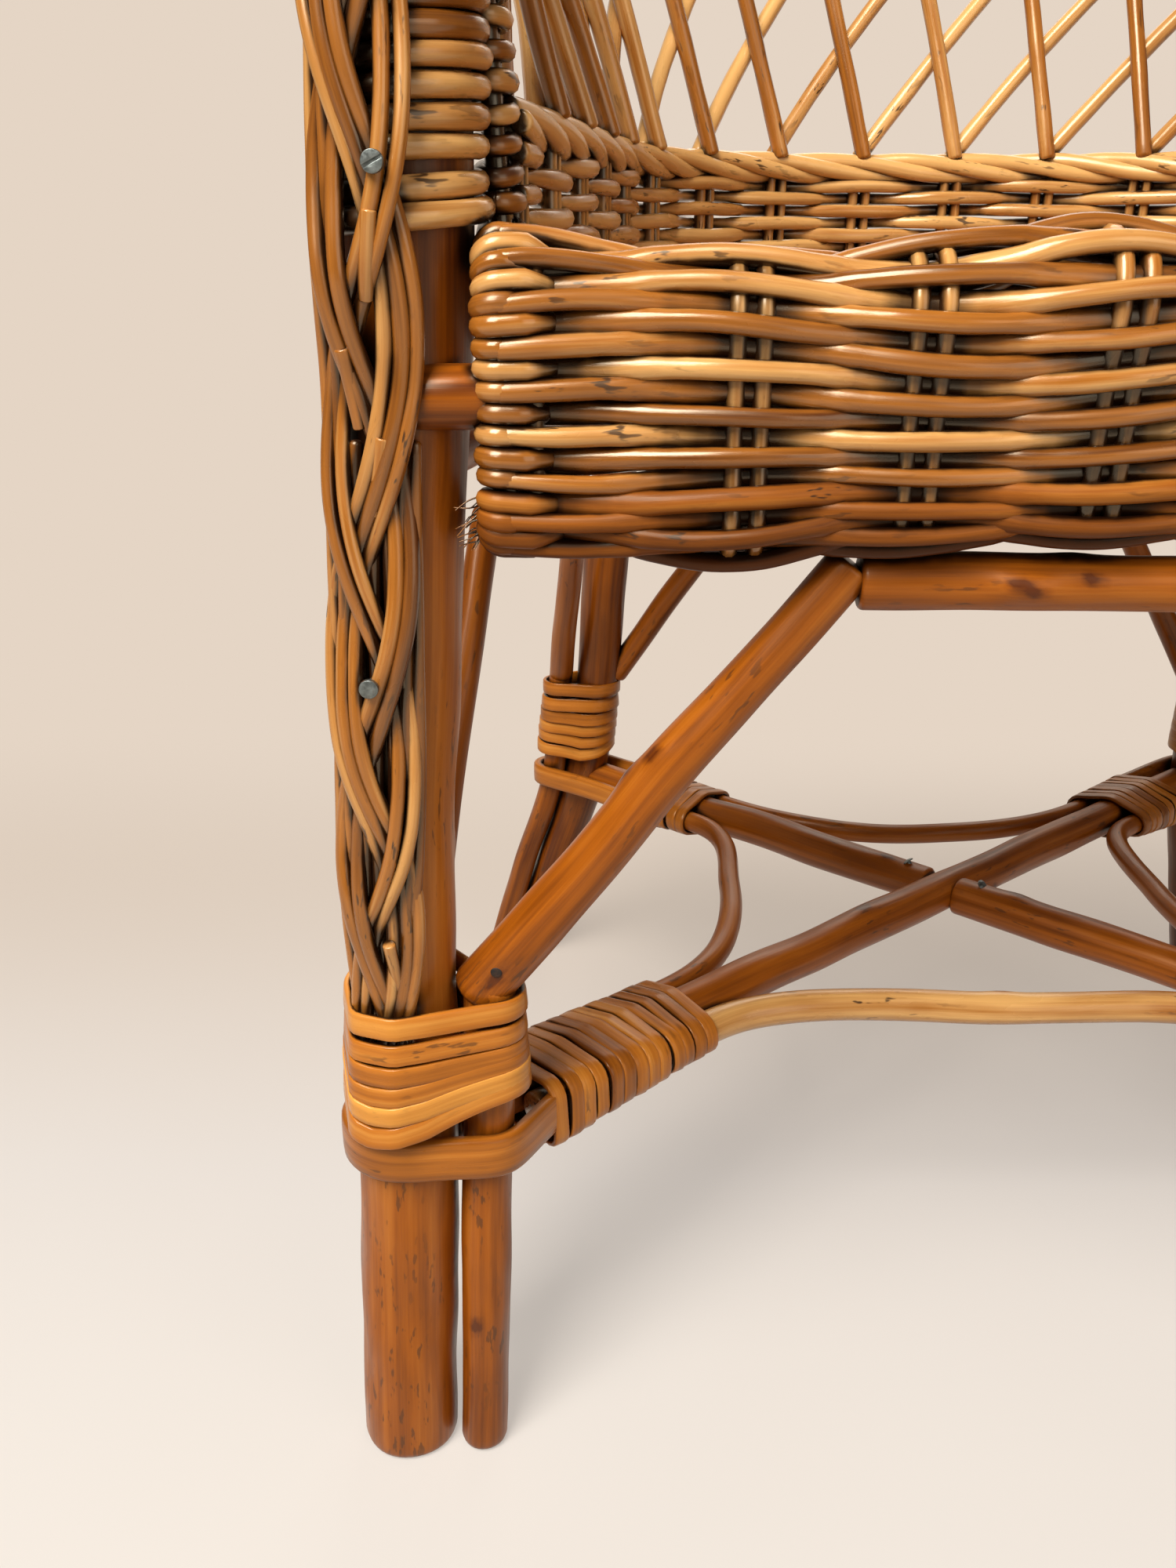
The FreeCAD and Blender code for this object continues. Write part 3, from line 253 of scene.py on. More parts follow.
class Bundle:
    """Poles, rods or strips gathered into one piece."""

    def __init__(self, seed):
        self.rng = np.random.default_rng(seed)
        self.places = []
        self.faces = []
        self.grains = []
        self.tones = []
        self.count = 0

    def sweep(self, path, section, scale, outward=None, relief=None, tone=None,
              edges=(1.0, 1.0), level=0.0):
        """Carry a section along a path; edges are the rounding of the two ends.

        Level is the stretch over which the start turns from square to flat on the floor.
        """
        path = np.asarray(path, float)
        total = len(path)
        sides = len(section)
        scale = np.broadcast_to(np.asarray(scale, float), (total,))
        heading = headings(path)
        if outward is None:
            out = carried(heading)
        else:
            out = normalised(outward - heading * np.sum(outward * heading, axis=1)[:, None])
        along = np.cross(out, heading)
        flat = section[None, :, :] * scale[:, None, None]
        if relief is not None:
            flat = flat * (1 + relief / scale[:, None])[:, :, None]
        rings = path[:, None, :] + flat[:, :, :1] * along[:, None, :] + flat[:, :, 1:] * out[:, None, :]
        marks = lengths(path)
        if level:
            fade = np.clip(1 - marks / level, 0, 1)[:, None]
            drop = (path[:, None, 2] - rings[:, :, 2]) / heading[:, None, 2]
            rings = rings + heading[:, None, :] * (drop * fade)[:, :, None]
        run = marks + self.rng.uniform(0, GRAIN_SPREAD)
        grain = np.concatenate((flat, np.repeat(run[:, None, None], sides, axis=1)), axis=2)
        shade = self.rng.uniform(0, 1) if tone is None else tone
        shade = np.broadcast_to(np.asarray(shade, float), (total, sides))

        thick = np.sqrt(np.ptp(section[:, 0]) * np.ptp(section[:, 1])) / 2
        layers = max(int(thick * scale.mean() / FILL_STEP), 1)
        for depth in np.linspace(0.0, FILL_DEPTH, layers + 1):
            FILLING.append((rings * depth + path[:, None, :] * (1 - depth)).reshape(-1, 3))

        caps = []
        tips = []
        for end, sign, edge in ((0, -1, edges[0]), (-1, 1, edges[1])):
            radius = thick * scale[end]
            edge = min(edge, 0.9 * radius)
            rows = []
            for degrees in CAP_DEGREES:
                lean = math.radians(degrees)
                shrink = 1 - edge * (1 - math.cos(lean)) / radius
                centre = path[end] + heading[end] * (sign * edge * math.sin(lean))
                rows.append(centre + (rings[end] - path[end]) * shrink)
            caps.append(np.array(rows))
            tips.append(path[end] + heading[end] * (sign * edge))
        rings = np.concatenate((caps[0][::-1], rings, caps[1]))
        self.add(rings, tips, with_caps(grain), with_caps(shade))

    def add(self, rings, tips, grain, shade):
        """Join rings of points by faces and close them with a tip at each end."""
        total, sides = shade.shape
        index = self.count + np.arange(total * sides).reshape(total, sides)
        nearer = np.roll(index, -1, axis=1)
        quads = np.stack((index[:-1], nearer[:-1], nearer[1:], index[1:]), axis=2)
        first_tip = self.count + total * sides
        self.faces += quads.reshape(-1, 4).tolist()
        self.faces += [[first_tip, int(b), int(a)] for a, b in zip(index[0], nearer[0])]
        self.faces += [[first_tip + 1, int(a), int(b)] for a, b in zip(index[-1], nearer[-1])]
        ends = [0, -1]
        self.places.append(np.concatenate((rings.reshape(-1, 3), np.array(tips))))
        self.grains.append(np.concatenate((grain.reshape(-1, 3), grain[ends].mean(axis=1))))
        self.tones.append(np.concatenate((shade.ravel(), shade[ends].mean(axis=1))))
        self.count += total * sides + 2

    def rod(self, path, radius, sides=SIDES_OF_ROD, taper=0.0, tone=None, edges=(1.0, 1.0), rough=0.04):
        """Round willow rod with small swellings along it."""
        marks = lengths(path)
        scale = radius * (1 - taper * (marks / marks[-1] - 0.5))
        scale = scale * (1 + drift(marks, ROD_WAVE, rough, self.rng))
        self.sweep(path, round_section(sides), scale, tone=tone, edges=edges)

    def piece(self, name, finish, node):
        """Write the gathered shapes as one piece that stands for a node of the frame."""
        mesh = bpy.data.meshes.new(name)
        mesh.from_pydata((np.concatenate(self.places) * MM).tolist(), [], self.faces)
        grain = mesh.attributes.new("grain", "FLOAT_VECTOR", "POINT")
        grain.data.foreach_set("vector", (np.concatenate(self.grains) * MM).astype(np.float32).ravel())
        tone = mesh.attributes.new("tone", "FLOAT", "POINT")
        tone.data.foreach_set("value", np.concatenate(self.tones).astype(np.float32))
        mesh.shade_smooth()
        mesh.materials.append(finish)
        item = bpy.data.objects.new(name, mesh)
        bpy.context.scene.collection.objects.link(item)
        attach(item, "root")
        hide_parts(node)
        PIECES.append(item)


# Finishes

class Finish:
    """Small helper that wires a material's nodes."""

    def __init__(self, name):
        self.material = bpy.data.materials.new(name)
        self.material.use_nodes = True
        self.tree = self.material.node_tree
        self.shader = self.tree.nodes["Principled BSDF"]

    def feed(self, node, sources):
        """Give each named input of a node a number, a colour or another node's output."""
        for key, source in sources.items():
            if isinstance(source, (int, float)):
                node.inputs[key].default_value = source
            elif isinstance(source, tuple):
                node.inputs[key].default_value = (*source, 1)
            else:
                self.tree.links.new(source, node.inputs[key])

    def node(self, kind, sources, **values):
        """Add a node, set its plain properties and feed its inputs."""
        item = self.tree.nodes.new(kind)
        for key, value in values.items():
            setattr(item, key, value)
        self.feed(item, sources)
        return item

    def attribute(self, name, output):
        """Output of a mesh attribute."""
        return self.node("ShaderNodeAttribute", {}, attribute_name=name).outputs[output]

    def place(self):
        """Place in the piece's own frame."""
        return self.node("ShaderNodeTexCoord", {}).outputs["Object"]

    def noise(self, source, stretch, detail, roughness=0.55):
        """Noise on a vector that is scaled separately across and along the grain."""
        mapping = self.node("ShaderNodeMapping", {"Vector": source})
        mapping.inputs["Scale"].default_value = stretch
        scaled = mapping.outputs["Vector"]
        sources = {"Vector": scaled, "Scale": 1.0, "Detail": detail, "Roughness": roughness}
        return self.node("ShaderNodeTexNoise", sources).outputs["Fac"]

    def ramp(self, source, stops):
        """Colour ramp over (place, colour) stops."""
        ramp = self.node("ShaderNodeValToRGB", {"Fac": source})
        marks = ramp.color_ramp.elements
        for mark, (place, colour) in ((marks[0], stops[0]), (marks[1], stops[-1])):
            mark.position = place
            mark.color = (*colour, 1)
        for place, colour in stops[1:-1]:
            marks.new(place).color = (*colour, 1)
        return ramp.outputs["Color"]

    def between(self, source, low, high, to_low=0.0, to_high=1.0):
        """Number carried from one range to another, held at the ends."""
        sources = {"Value": source, "From Min": low, "From Max": high, "To Min": to_low, "To Max": to_high}
        return self.node("ShaderNodeMapRange", sources, interpolation_type="SMOOTHSTEP").outputs["Result"]

    def mixed(self, share, first, second):
        """Two colours mixed by a share; the node's colour inputs are numbers 6 and 7."""
        return self.node("ShaderNodeMix", {0: share, 6: first, 7: second}, data_type="RGBA").outputs[2]

    def math(self, operation, first, second):
        """Sum, product and the like of two numbers."""
        return self.node("ShaderNodeMath", {0: first, 1: second}, operation=operation).outputs[0]

    def weighted(self, first, weight, second, other):
        """Sum of two numbers, each times its weight."""
        return self.math("ADD", self.math("MULTIPLY", first, weight), self.math("MULTIPLY", second, other))

    def bump(self, height, strength, distance):
        """Raise the surface by a height."""
        item = self.node("ShaderNodeBump", {"Height": height, "Strength": strength, "Distance": distance})
        self.feed(self.shader, {"Normal": item.outputs["Normal"]})


FLECK_BROWN = (0.045, 0.018, 0.008)
VARNISH_AND_SHADE_BROWN = (0.016, 0.004, 0.001)
VARNISH_GLINT = (1.0, 0.83, 0.57)
STREAK_WEIGHT = 0.55
TONE_WEIGHT = 0.34


def varnished_willow(name, dark, middle, pale, flecks, shine, gloss):
    """Peeled willow under old varnish: streaks along the grain, flecks, and crevices darkened as pooled
    varnish and painted shade.
    """
    finish = Finish(name)
    grain = finish.attribute("grain", "Vector")
    tone = finish.attribute("tone", "Fac")
    crevice = finish.attribute("crevice", "Fac")
    streak = finish.noise(grain, (420, 420, 9), 6.0, 0.62)
    patch = finish.noise(grain, (55, 55, 16), 3.0)
    blend = finish.weighted(streak, STREAK_WEIGHT, patch, 1 - STREAK_WEIGHT)
    blend = finish.weighted(blend, 1.0, finish.math("SUBTRACT", tone, 0.5), TONE_WEIGHT)
    wood = finish.ramp(blend, ((0.28, dark), (0.5, middle), (0.72, pale)))
    speck = finish.between(finish.noise(grain, (620, 620, 150), 2.0), 0.6, 0.67)
    cluster = finish.between(finish.noise(grain, (45, 45, 22), 1.0), 0.47, 0.62)
    spotted = finish.math("MULTIPLY", finish.math("MULTIPLY", speck, cluster), flecks)
    wood = finish.mixed(spotted, wood, FLECK_BROWN)
    # Crevices darkened: partly pooled varnish, partly painted shade where rods and poles close in on each
    # other.
    varnish_and_shade = finish.math("MULTIPLY", finish.between(crevice, 0.08, 0.62), 0.98)
    wood = finish.mixed(varnish_and_shade, wood, VARNISH_AND_SHADE_BROWN)
    rough = finish.between(finish.noise(grain, (160, 160, 40), 3.0), 0.3, 0.7, shine, shine + 0.2)
    finish.feed(finish.shader, {
        "Base Color": wood, "Roughness": rough, "Coat Weight": 0.25 * gloss, "Coat Roughness": 0.16,
        "Specular IOR Level": gloss, "Specular Tint": VARNISH_GLINT,
    })
    finish.bump(finish.weighted(streak, 0.5, patch, 1.0), 0.5, 0.0006)
    return finish.material


pole_finish = varnished_willow(
    "peeled_willow_pole", dark=(0.1, 0.018, 0.001), middle=(0.35, 0.088, 0.004), pale=(0.54, 0.175, 0.02),
    flecks=0.62, shine=0.28, gloss=0.4)
rod_finish = varnished_willow(
    "varnished_willow_rod", dark=(0.09, 0.021, 0.002), middle=(0.38, 0.126, 0.015),
    pale=(0.75, 0.405, 0.13), flecks=0.92, shine=0.17, gloss=0.85)
# Darker, duller copy of the rod finish for the rows under the apron's roll: painted shade.
painted_shade_rod_finish = varnished_willow(
    "painted_shade_willow_rod", dark=(0.08, 0.018, 0.002), middle=(0.3, 0.085, 0.009), pale=(0.6, 0.24, 0.04),
    flecks=0.92, shine=0.34, gloss=0.25)
cane_finish = varnished_willow(
    "split_cane", dark=(0.17, 0.04, 0.002), middle=(0.5, 0.155, 0.014), pale=(0.78, 0.34, 0.06),
    flecks=0.6, shine=0.25, gloss=0.45)


def nail_steel():
    """Dull wire nails with a little rust."""
    finish = Finish("dull_nail_steel")
    place = finish.place()
    scratch = finish.noise(place, (900, 900, 900), 4.0)
    rust = finish.between(finish.noise(place, (260, 260, 260), 3.0), 0.52, 0.68)
    metal = finish.ramp(scratch, ((0.3, (0.1, 0.11, 0.1)), (0.7, (0.26, 0.28, 0.26))))
    metal = finish.mixed(rust, metal, (0.16, 0.075, 0.03))
    rough = finish.between(scratch, 0.3, 0.7, 0.32, 0.5)
    finish.feed(finish.shader, {"Base Color": metal, "Metallic": 0.85, "Roughness": rough})
    finish.bump(scratch, 0.3, 0.0002)
    return finish.material


def hole_iron():
    """Sunk nails gone black with rust."""
    finish = Finish("black_nail_iron")
    rust = finish.noise(finish.place(), (700, 700, 700), 3.0)
    black = finish.ramp(rust, ((0.4, (0.008, 0.005, 0.003)), (0.7, (0.05, 0.02, 0.008))))
    finish.feed(finish.shader, {"Base Color": black, "Roughness": 0.7})
    finish.bump(rust, 0.4, 0.0002)
    return finish.material


steel_finish = nail_steel()
iron_finish = hole_iron()
cross_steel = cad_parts["cross_nails"].data
cross_steel.materials.clear()
cross_steel.materials.append(steel_finish)

# Poles

POLE_STEP = 2.2
CURVE_STEP = 3.0
# Lumps of a pole: lobes round it, wavelength along it, height as a share of the radius
LOBES = ((1, 120.0, 0.012), (2, 75.0, 0.014), (3, 48.0, 0.009), (5, 26.0, 0.005))
KNOT_SPREAD = 2.6
KNOT_LENGTHENING = 0.6
STAIN_SPREAD = 1.2
STAIN_DEPTH = 1.1


def pole(node, path, radii, seed, tone, edges=(1.6, 1.6), knots=(), sway=0.5, sides=32, level=0.0,
         finish=pole_finish):
    """Peeled pole with slow bends, a lumpy surface and knots of (share, bearing, height).

    Radii, and tones when there are several, stand at even steps along it.
    """
    bundle = Bundle(seed)
    rng = bundle.rng
    path = even(path, POLE_STEP)
    marks = lengths(path)
    share = marks / marks[-1]
    heading = unit(path[-1] - path[0])
    side_on = unit(np.cross(heading, UP if abs(heading[2]) < 0.9 else BACK))
    wander = drift(marks, 170.0, sway, rng)[:, None] * side_on
    wander = wander + drift(marks, 140.0, sway, rng)[:, None] * np.cross(heading, side_on)
    path = path + wander * np.sin(math.pi * share)[:, None]
    scale = np.interp(share, np.linspace(0, 1, len(radii)), radii)
    scale = scale * (1 + drift(marks, 90.0, 0.018, rng))
    bearing = np.arange(sides) * (FULL_TURN / sides)
    relief = np.zeros((len(path), sides))
    for lobes, wave, amount in LOBES:
        turn = rng.uniform(0, FULL_TURN)
        turn_along = FULL_TURN * marks[:, None] / (wave * rng.uniform(0.8, 1.25))
        relief += amount * scale.mean() * np.sin(lobes * bearing[None, :] + turn_along + turn)
    tones = tone if isinstance(tone, tuple) else (tone, tone)
    shade = np.interp(share, np.linspace(0, 1, len(tones)), tones)
    shade = np.repeat(shade[:, None], sides, axis=1)
    for place, around, height in knots:
        away = np.abs((bearing - math.radians(around) + math.pi) % FULL_TURN - math.pi) * scale.mean()
        reach = np.hypot(away, (marks[:, None] - place * marks[-1]) * KNOT_LENGTHENING)
        relief += height * np.exp(-(reach / KNOT_SPREAD) ** 2)
        shade -= STAIN_DEPTH * np.exp(-(reach / STAIN_SPREAD) ** 2)
    bundle.sweep(path, round_section(sides), scale, relief=relief, tone=shade, edges=edges, level=level)
    bundle.piece(node + ".pole", finish, node)


FOOT_EDGE = 2.4
# Height and lean inwards
LEG_LEANS = (
    (FOOT_EDGE, 0), (100, 0), (160, -0.4), (212, -0.3), (246, 0.4), (288, 1.4), (340, 0.8),
    (ARM_Z - 1.6, 0.2),
)
LEG_RADII = (12.5, 12.4, 12.1, 13.2, 13.2, 12.3)
# Tones up the front legs: painted light at mid height, painted shade from the rail up beside the apron and
# coil.
LEG_LIGHT_AND_SHADE_TONES = (0.4, 0.5, 1.0, 0.5, -0.2, -0.3)
# Knots: share of the length, bearing in degrees, height
LEG_KNOTS = ((0.12, 40, 0.5), (0.41, 20, 0.5))
BRACE_KNOTS = ((0.5, 80, 0.7), (0.56, 120, 0.6), (0.2, 10, 0.4))
BRACE_TOP_X = 67.0
REAR_BRACE_TOP_X = 52.0
SIDE_BAR_HALF = 48.0
THIN_BRACE_RADII = (4.6, 3.8)

doubler_top = WRAP_TOP + FIT
front_corner = {side: front_leg_at(side, CROSS_Z) for side in SIGNS}
rear_corner = {side: rear_leg_at(side, CROSS_Z) for side in SIGNS}
cross_share = -front_corner[-1][0] / (rear_corner[1][0] - front_corner[-1][0])
cross_middle = front_corner[-1] + (rear_corner[1] - front_corner[-1]) * cross_share

for word, side in SIDES:
    seed = 11 if side < 0 else 12
    leg = [front_leg_at(side, z) - ACROSS * side * lean for z, lean in LEG_LEANS]
    pole("front_leg_" + word, eased(leg, CURVE_STEP), LEG_RADII, seed, LEG_LIGHT_AND_SHADE_TONES,
         edges=(FOOT_EDGE, 1.6), knots=LEG_KNOTS, sway=0.6, sides=44, level=14.0)
    short = trimmed(front_doubler_at(side, 0), front_doubler_at(side, WRAP_TOP - 1), FOOT_EDGE, 1.0)
    pole("front_leg_doubler_" + word, short, (6.2, 6.3), seed + 10, 0.32,
         edges=(FOOT_EDGE, 1.0), knots=((0.3, 250, 0.4),), level=10.0)
    # The rear legs' low tone is painted shade under the seat.
    knee = [rear_leg_at(side, z) for z in (1.9, 50, CROSS_Z, 190, SEAT_TOP - 1)]
    pole("rear_leg_" + word, eased(knee, CURVE_STEP), (8.4, 8.1), seed + 20, 0.06,
         edges=(2.0, 1.0), knots=((0.3, 60, 0.5),), level=14.0)
    knee = [rear_doubler_at(side, z) for z in (1.7, 50, CROSS_Z, WRAP_TOP - 1)]
    pole("rear_leg_doubler_" + word, eased(knee, CURVE_STEP), (4.7, 4.5), seed + 30, 0.3,
         edges=(1.8, 1.0), sway=0.4, level=10.0)

    foot = front_doubler_at(side, doubler_top)
    brace = trimmed(foot, np.array((side * BRACE_TOP_X, foot[1], BAR_Z)), -4.0, -3.6)
    dent = (0.05, 90 - 90 * side, -1.5)
    pole("front_brace_" + word, brace, (6.8, 5.2), seed + 40, 0.4,
         edges=(2.6, 1.2), knots=(*BRACE_KNOTS, dent), sway=0.9)
    rail = trimmed(front_leg_at(side, SIDE_RAIL_Z), rear_leg_at(side, SIDE_RAIL_Z), 6.5, 5.2)
    pole("side_seat_rail_" + word, rail, (5.5, 5.4), seed + 50, 0.3)

    ahead, behind = front_leg_at(side, BAR_Z), rear_leg_at(side, BAR_Z)
    run = unit(behind - ahead)
    centre = (ahead + behind) / 2
    first, last = centre - run * SIDE_BAR_HALF, centre + run * SIDE_BAR_HALF
    pole("side_bar_" + word, (first + run * 2, last - run * 2), (4.5, 4.4), seed + 60, 0.35)
    rear_top = np.array((side * REAR_BRACE_TOP_X, behind[1], BAR_Z))
    for node, foot, top, number, tone in (
        ("side_front_brace_", front_leg_at(side, WRAP_TOP) + run * LEG_RADIUS, first, 70, 0.35),
        ("side_rear_brace_", rear_doubler_at(side, doubler_top), last, 80, 0.62),
        ("rear_brace_", rear_leg_at(side, WRAP_TOP) - ACROSS * side * REAR_RADIUS, rear_top, 90, 0.35),
    ):
        pole(node + word, (foot, top), THIN_BRACE_RADII, seed + number, tone)

BAR_KNOTS = ((0.24, 170, 1.1), (0.27, 185, 0.5), (0.34, 95, 0.5), (0.36, 160, 0.4))
# Place across and distance before the legs' axes
RAIL_PLAN = ((-151.0, 10.6), (-142.0, 10.2), (-126.0, 6.5), (-100.0, 3.5), (-50.0, 3.0))
SUNK_NAIL = (138.6, 148.9)
SUNK_NAIL_RADIUS = 1.35
FRONT_INSET = 12.0
REAR_INSET = 8.0
BUTT = (1.0, 1.0)

bar_y = front_doubler_at(-1, doubler_top)[1]
sunk = Bundle(208)
for side in SIGNS:
    head = np.array((side * SUNK_NAIL[0], bar_y - 5.6, SUNK_NAIL[1]))
    sunk.rod(head + BACK * np.linspace(0, 12, 7)[:, None], SUNK_NAIL_RADIUS, 14, edges=(0.3, 0.3))
sunk.piece("brace_nails.sunk", iron_finish, "brace_nails")
pole("front_bar", crosswise(61.5, bar_y, BAR_Z), (5.9, 5.7), 201, 0.5, edges=(1.2, 1.2), knots=BAR_KNOTS)
pole("rear_bar", crosswise(50.0, rear_leg_at(-1, BAR_Z)[1], BAR_Z), (4.5, 4.5), 202, 0.35)
rail = [(x, LEG_Y - ahead, RAIL_Z) for x, ahead in RAIL_PLAN]
rail += [(-x, y, z) for x, y, z in reversed(rail)]
pole("front_seat_rail", eased(rail, CURVE_STEP), (6.3, 6.3), 203, 0.3, sway=0.2)
pole("rear_seat_rail", crosswise(102.0, LEG_Y + REAR_LEG_BACK[-1], RAIL_Z), (6.3, 6.2), 204, 0.4)
whole = trimmed(front_corner[-1], rear_corner[1], FRONT_INSET, REAR_INSET)
pole("cross_through", whole, (6.6, 6.4), 205, 0.4,
     edges=BUTT, knots=((0.45, 90, 0.5), (0.62, 200, 0.5)), sway=0.9)
for node, corner, inset, seed in (
    ("cross_half_rear_left", rear_corner[-1], REAR_INSET, 206),
    ("cross_half_front_right", front_corner[1], FRONT_INSET, 207),
):
    pole(node, trimmed(cross_middle, corner, 6.6, inset), (6.4, 6.5), seed, 0.38,
         edges=(1.2, 1.0), knots=((0.1, 80, 0.6),), sway=0.6)


# Bows and the straps that run round the legs

CANE_STEP = 5.4
CANE_END = 4.8
FRONT_TURNS = 10
REAR_TURNS = 5
FRONT_LANE = CROSS_RADIUS + BOW_RADIUS + FIT
THIN_LANE = CROSS_RADIUS + THIN_BOW_RADIUS + FIT
FRONT_STRAIGHT = BOW_START + CANE_STEP / 2 + CANE_STEP * FRONT_TURNS + CANE_END
REAR_STRAIGHT = BOW_START + CANE_STEP / 2 + CANE_STEP * REAR_TURNS + CANE_END
BOW_STEP = 2.5
RING_STEP = 1.6
STRAP_THICKNESS = 3.0


def lane(corner, reach, offset):
    """Point beside a cross pole, reach from the leg's axis and offset to its left."""
    along = unit(cross_middle - corner)
    return corner + along * reach + np.cross(UP, along) * offset


def lane_pair(corner, straight, offset):
    """Two stations along the straight end of a bow, heading inwards."""
    along = unit(cross_middle - corner)
    return [(lane(corner, reach, offset), along) for reach in (BOW_START, straight)]


def bow(node, start, middle, heading, end, radii, seed, tone, **looks):
    """Bent rod from one corner's lane by its middle to another corner's."""
    arriving = [(point, -inward) for point, inward in reversed(lane_pair(*end))]
    stations = lane_pair(*start) + [(np.array((*middle, CROSS_Z)), heading)] + arriving
    pole(node, through(stations, BOW_STEP), radii, seed, tone, edges=BUTT, **looks)


bow("front_bow", (front_corner[-1], FRONT_STRAIGHT, -FRONT_LANE), (0, LEG_Y + 62.0), ACROSS,
    (front_corner[1], FRONT_STRAIGHT, FRONT_LANE), (4.8, 4.5), 211, 0.85,
    knots=((0.5, 60, 0.4),), sides=22, finish=rod_finish)
bow("rear_bow", (rear_corner[-1], REAR_STRAIGHT, THIN_LANE), (0, rear_corner[1][1] - 58.0), ACROSS,
    (rear_corner[1], REAR_STRAIGHT, -THIN_LANE), (3.7, 3.5), 212, 0.45, sides=20)
for word, side in SIDES:
    waist = side * ((front_corner[1][0] + rear_corner[1][0]) / 2 - 71.0)
    front_end = (front_corner[side], FRONT_STRAIGHT, -side * THIN_LANE)
    rear_end = (rear_corner[side], REAR_STRAIGHT, side * THIN_LANE)
    bow("side_bow_" + word, front_end, (waist, cross_middle[1]), BACK, rear_end,
        (3.8, 3.6), 213 + side, 0.5, sides=20)


def hull(points):
    """Outline of the points as a taut thread would lie round them, anticlockwise."""
    points = sorted(map(tuple, np.round(points, 4)))

    def chain(run):
        """One half of the outline."""
        kept = []
        for point in run:
            while len(kept) > 1:
                (ax, ay), (bx, by) = kept[-2], kept[-1]
                if (bx - ax) * (point[1] - ay) - (by - ay) * (point[0] - ax) > 0:
                    break
                kept.pop()
            kept.append(point)
        return kept[:-1]

    return np.array(chain(points) + chain(points[::-1]))


def girth(circles, spare):
    """Taut outline round circles of (x, y, radius), closed, at even steps."""
    ring = round_section(72)
    outline = hull(np.concatenate([np.array((x, y)) + ring * (radius + spare) for x, y, radius in circles]))
    return even(np.concatenate((outline, outline[:1])), RING_STEP)


def strap(node, corner, circles, offset, height, lift, seed):
    """Bow end shaved to a strap, laid round a leg from one lane to the other."""
    bundle = Bundle(seed)
    ends = [(lane(corner, BOW_START + 6.0, sign * offset) - corner)[:2] for sign in SIGNS]
    ring = girth(circles + [(*end, 0.5) for end in ends], 0.8)
    first, last = [int(np.argmin(np.linalg.norm(ring - end, axis=1))) for end in ends]
    ring = ring[:-1]
    count = len(ring)
    one_way = (first + np.arange((last - first) % count + 1)) % count
    other_way = (last + np.arange((first - last) % count + 1)) % count
    flat = ring[max(one_way, other_way, key=len)]
    path = np.concatenate((flat + corner[:2], np.full((len(flat), 1), CROSS_Z)), axis=1)
    path = smoothed(even(path, RING_STEP), 6)
    marks = lengths(path)
    path[:, 2] += drift(marks, 90.0, 0.4, bundle.rng)
    path[:, 2] += lift * np.sin(math.pi * marks / marks[-1]) ** 0.6
    away = path[:, :2] - corner[:2] - flat.mean(axis=0)
    outward = facing(np.cross(np.gradient(path, axis=0), UP), away)
    section = strip_section(height, STRAP_THICKNESS)
    bundle.sweep(path, section, 1.0, outward=outward, tone=0.3, edges=(0.8, 0.8))
    bundle.piece(node + ".strap", cane_finish, node)


# Bindings of split cane

# Ends of the plait in plan about the leg: across, back, radius
PLAIT_TAIL = ((7.0, -12.6, 2.2), (0.5, -14.6, 2.2), (-5.0, -13.0, 2.2))
TURN_HEIGHTS = (109.6, 115.6, 120.8, 126.2, 132.2, 139.2)
TURN_SAGS = (1.7, 1.5, 1.1, 0.6, 0.15, 0.0)
TURN_INNER_RISES = (8.5, 5.6, 3.4, 1.6, 0.4, 0.0)
DIP_BEARINGS = (-180, -150, -108, -70, -20, 60, 120, 180)
TURN_CLIMB = 5.6
CLIMB_START = 0.86
LEG_CANE = 1.35
CORNER_CANE = 1.3
TURN_OVERLAP = 4


def wound(bundle, path, axis, away, tilt, widths, thickness, tones):
    """One turn of cane about an axis, facing away from it and a little tilted."""
    rng = bundle.rng
    outward = normalised(facing(np.cross(np.gradient(path, axis=0), axis), away))
    outward = outward + axis * rng.uniform(*tilt)
    section = strip_section(rng.uniform(*widths), thickness)
    bundle.sweep(path, section, 1.0, outward=outward, tone=rng.uniform(*tones), edges=(0.3, 0.3))


def leg_binding(node, leg_at, side, circles, seed, slack):
    """Cane wound up a leg; the lowest turns dip in front and rise to both sides."""
    bundle = Bundle(seed)
    ring = girth(circles, 0.9)[:-1]
    ring = np.roll(ring, -int(np.argmax(ring[:, 1])), axis=0)
    if side > 0:
        ring = ring[::-1]
    order = np.arange(len(ring) + TURN_OVERLAP)
    share = order / len(ring)
    spots = ring[order % len(ring)]
    bearing = np.degrees(np.arctan2(spots[:, 1], -side * spots[:, 0]))
    for height, sag, inner in zip(TURN_HEIGHTS, TURN_SAGS, TURN_INNER_RISES):
        dips = (4.2 * sag, 2.6 * sag, 0.0, 0.25 * inner, inner, inner, 3.0 * sag, 4.2 * sag)
        rise = height + slack * np.interp(bearing, DIP_BEARINGS, dips)
        rise = rise + TURN_CLIMB * np.clip((share - CLIMB_START) / (1 - CLIMB_START), 0, 1)
        rise = rise + drift(share * 130, 120.0, 0.3, bundle.rng)
        path = np.array([leg_at(side, z) for z in rise])
        path[:, :2] += spots * (1 + 0.03 * sag * slack)
        wound(bundle, path, UP, spots - spots.mean(axis=0), (-0.05, 0.1), (5.0, 5.7), LEG_CANE, (0.3, 0.95))
    bundle.piece(node + ".cane", cane_finish, node)


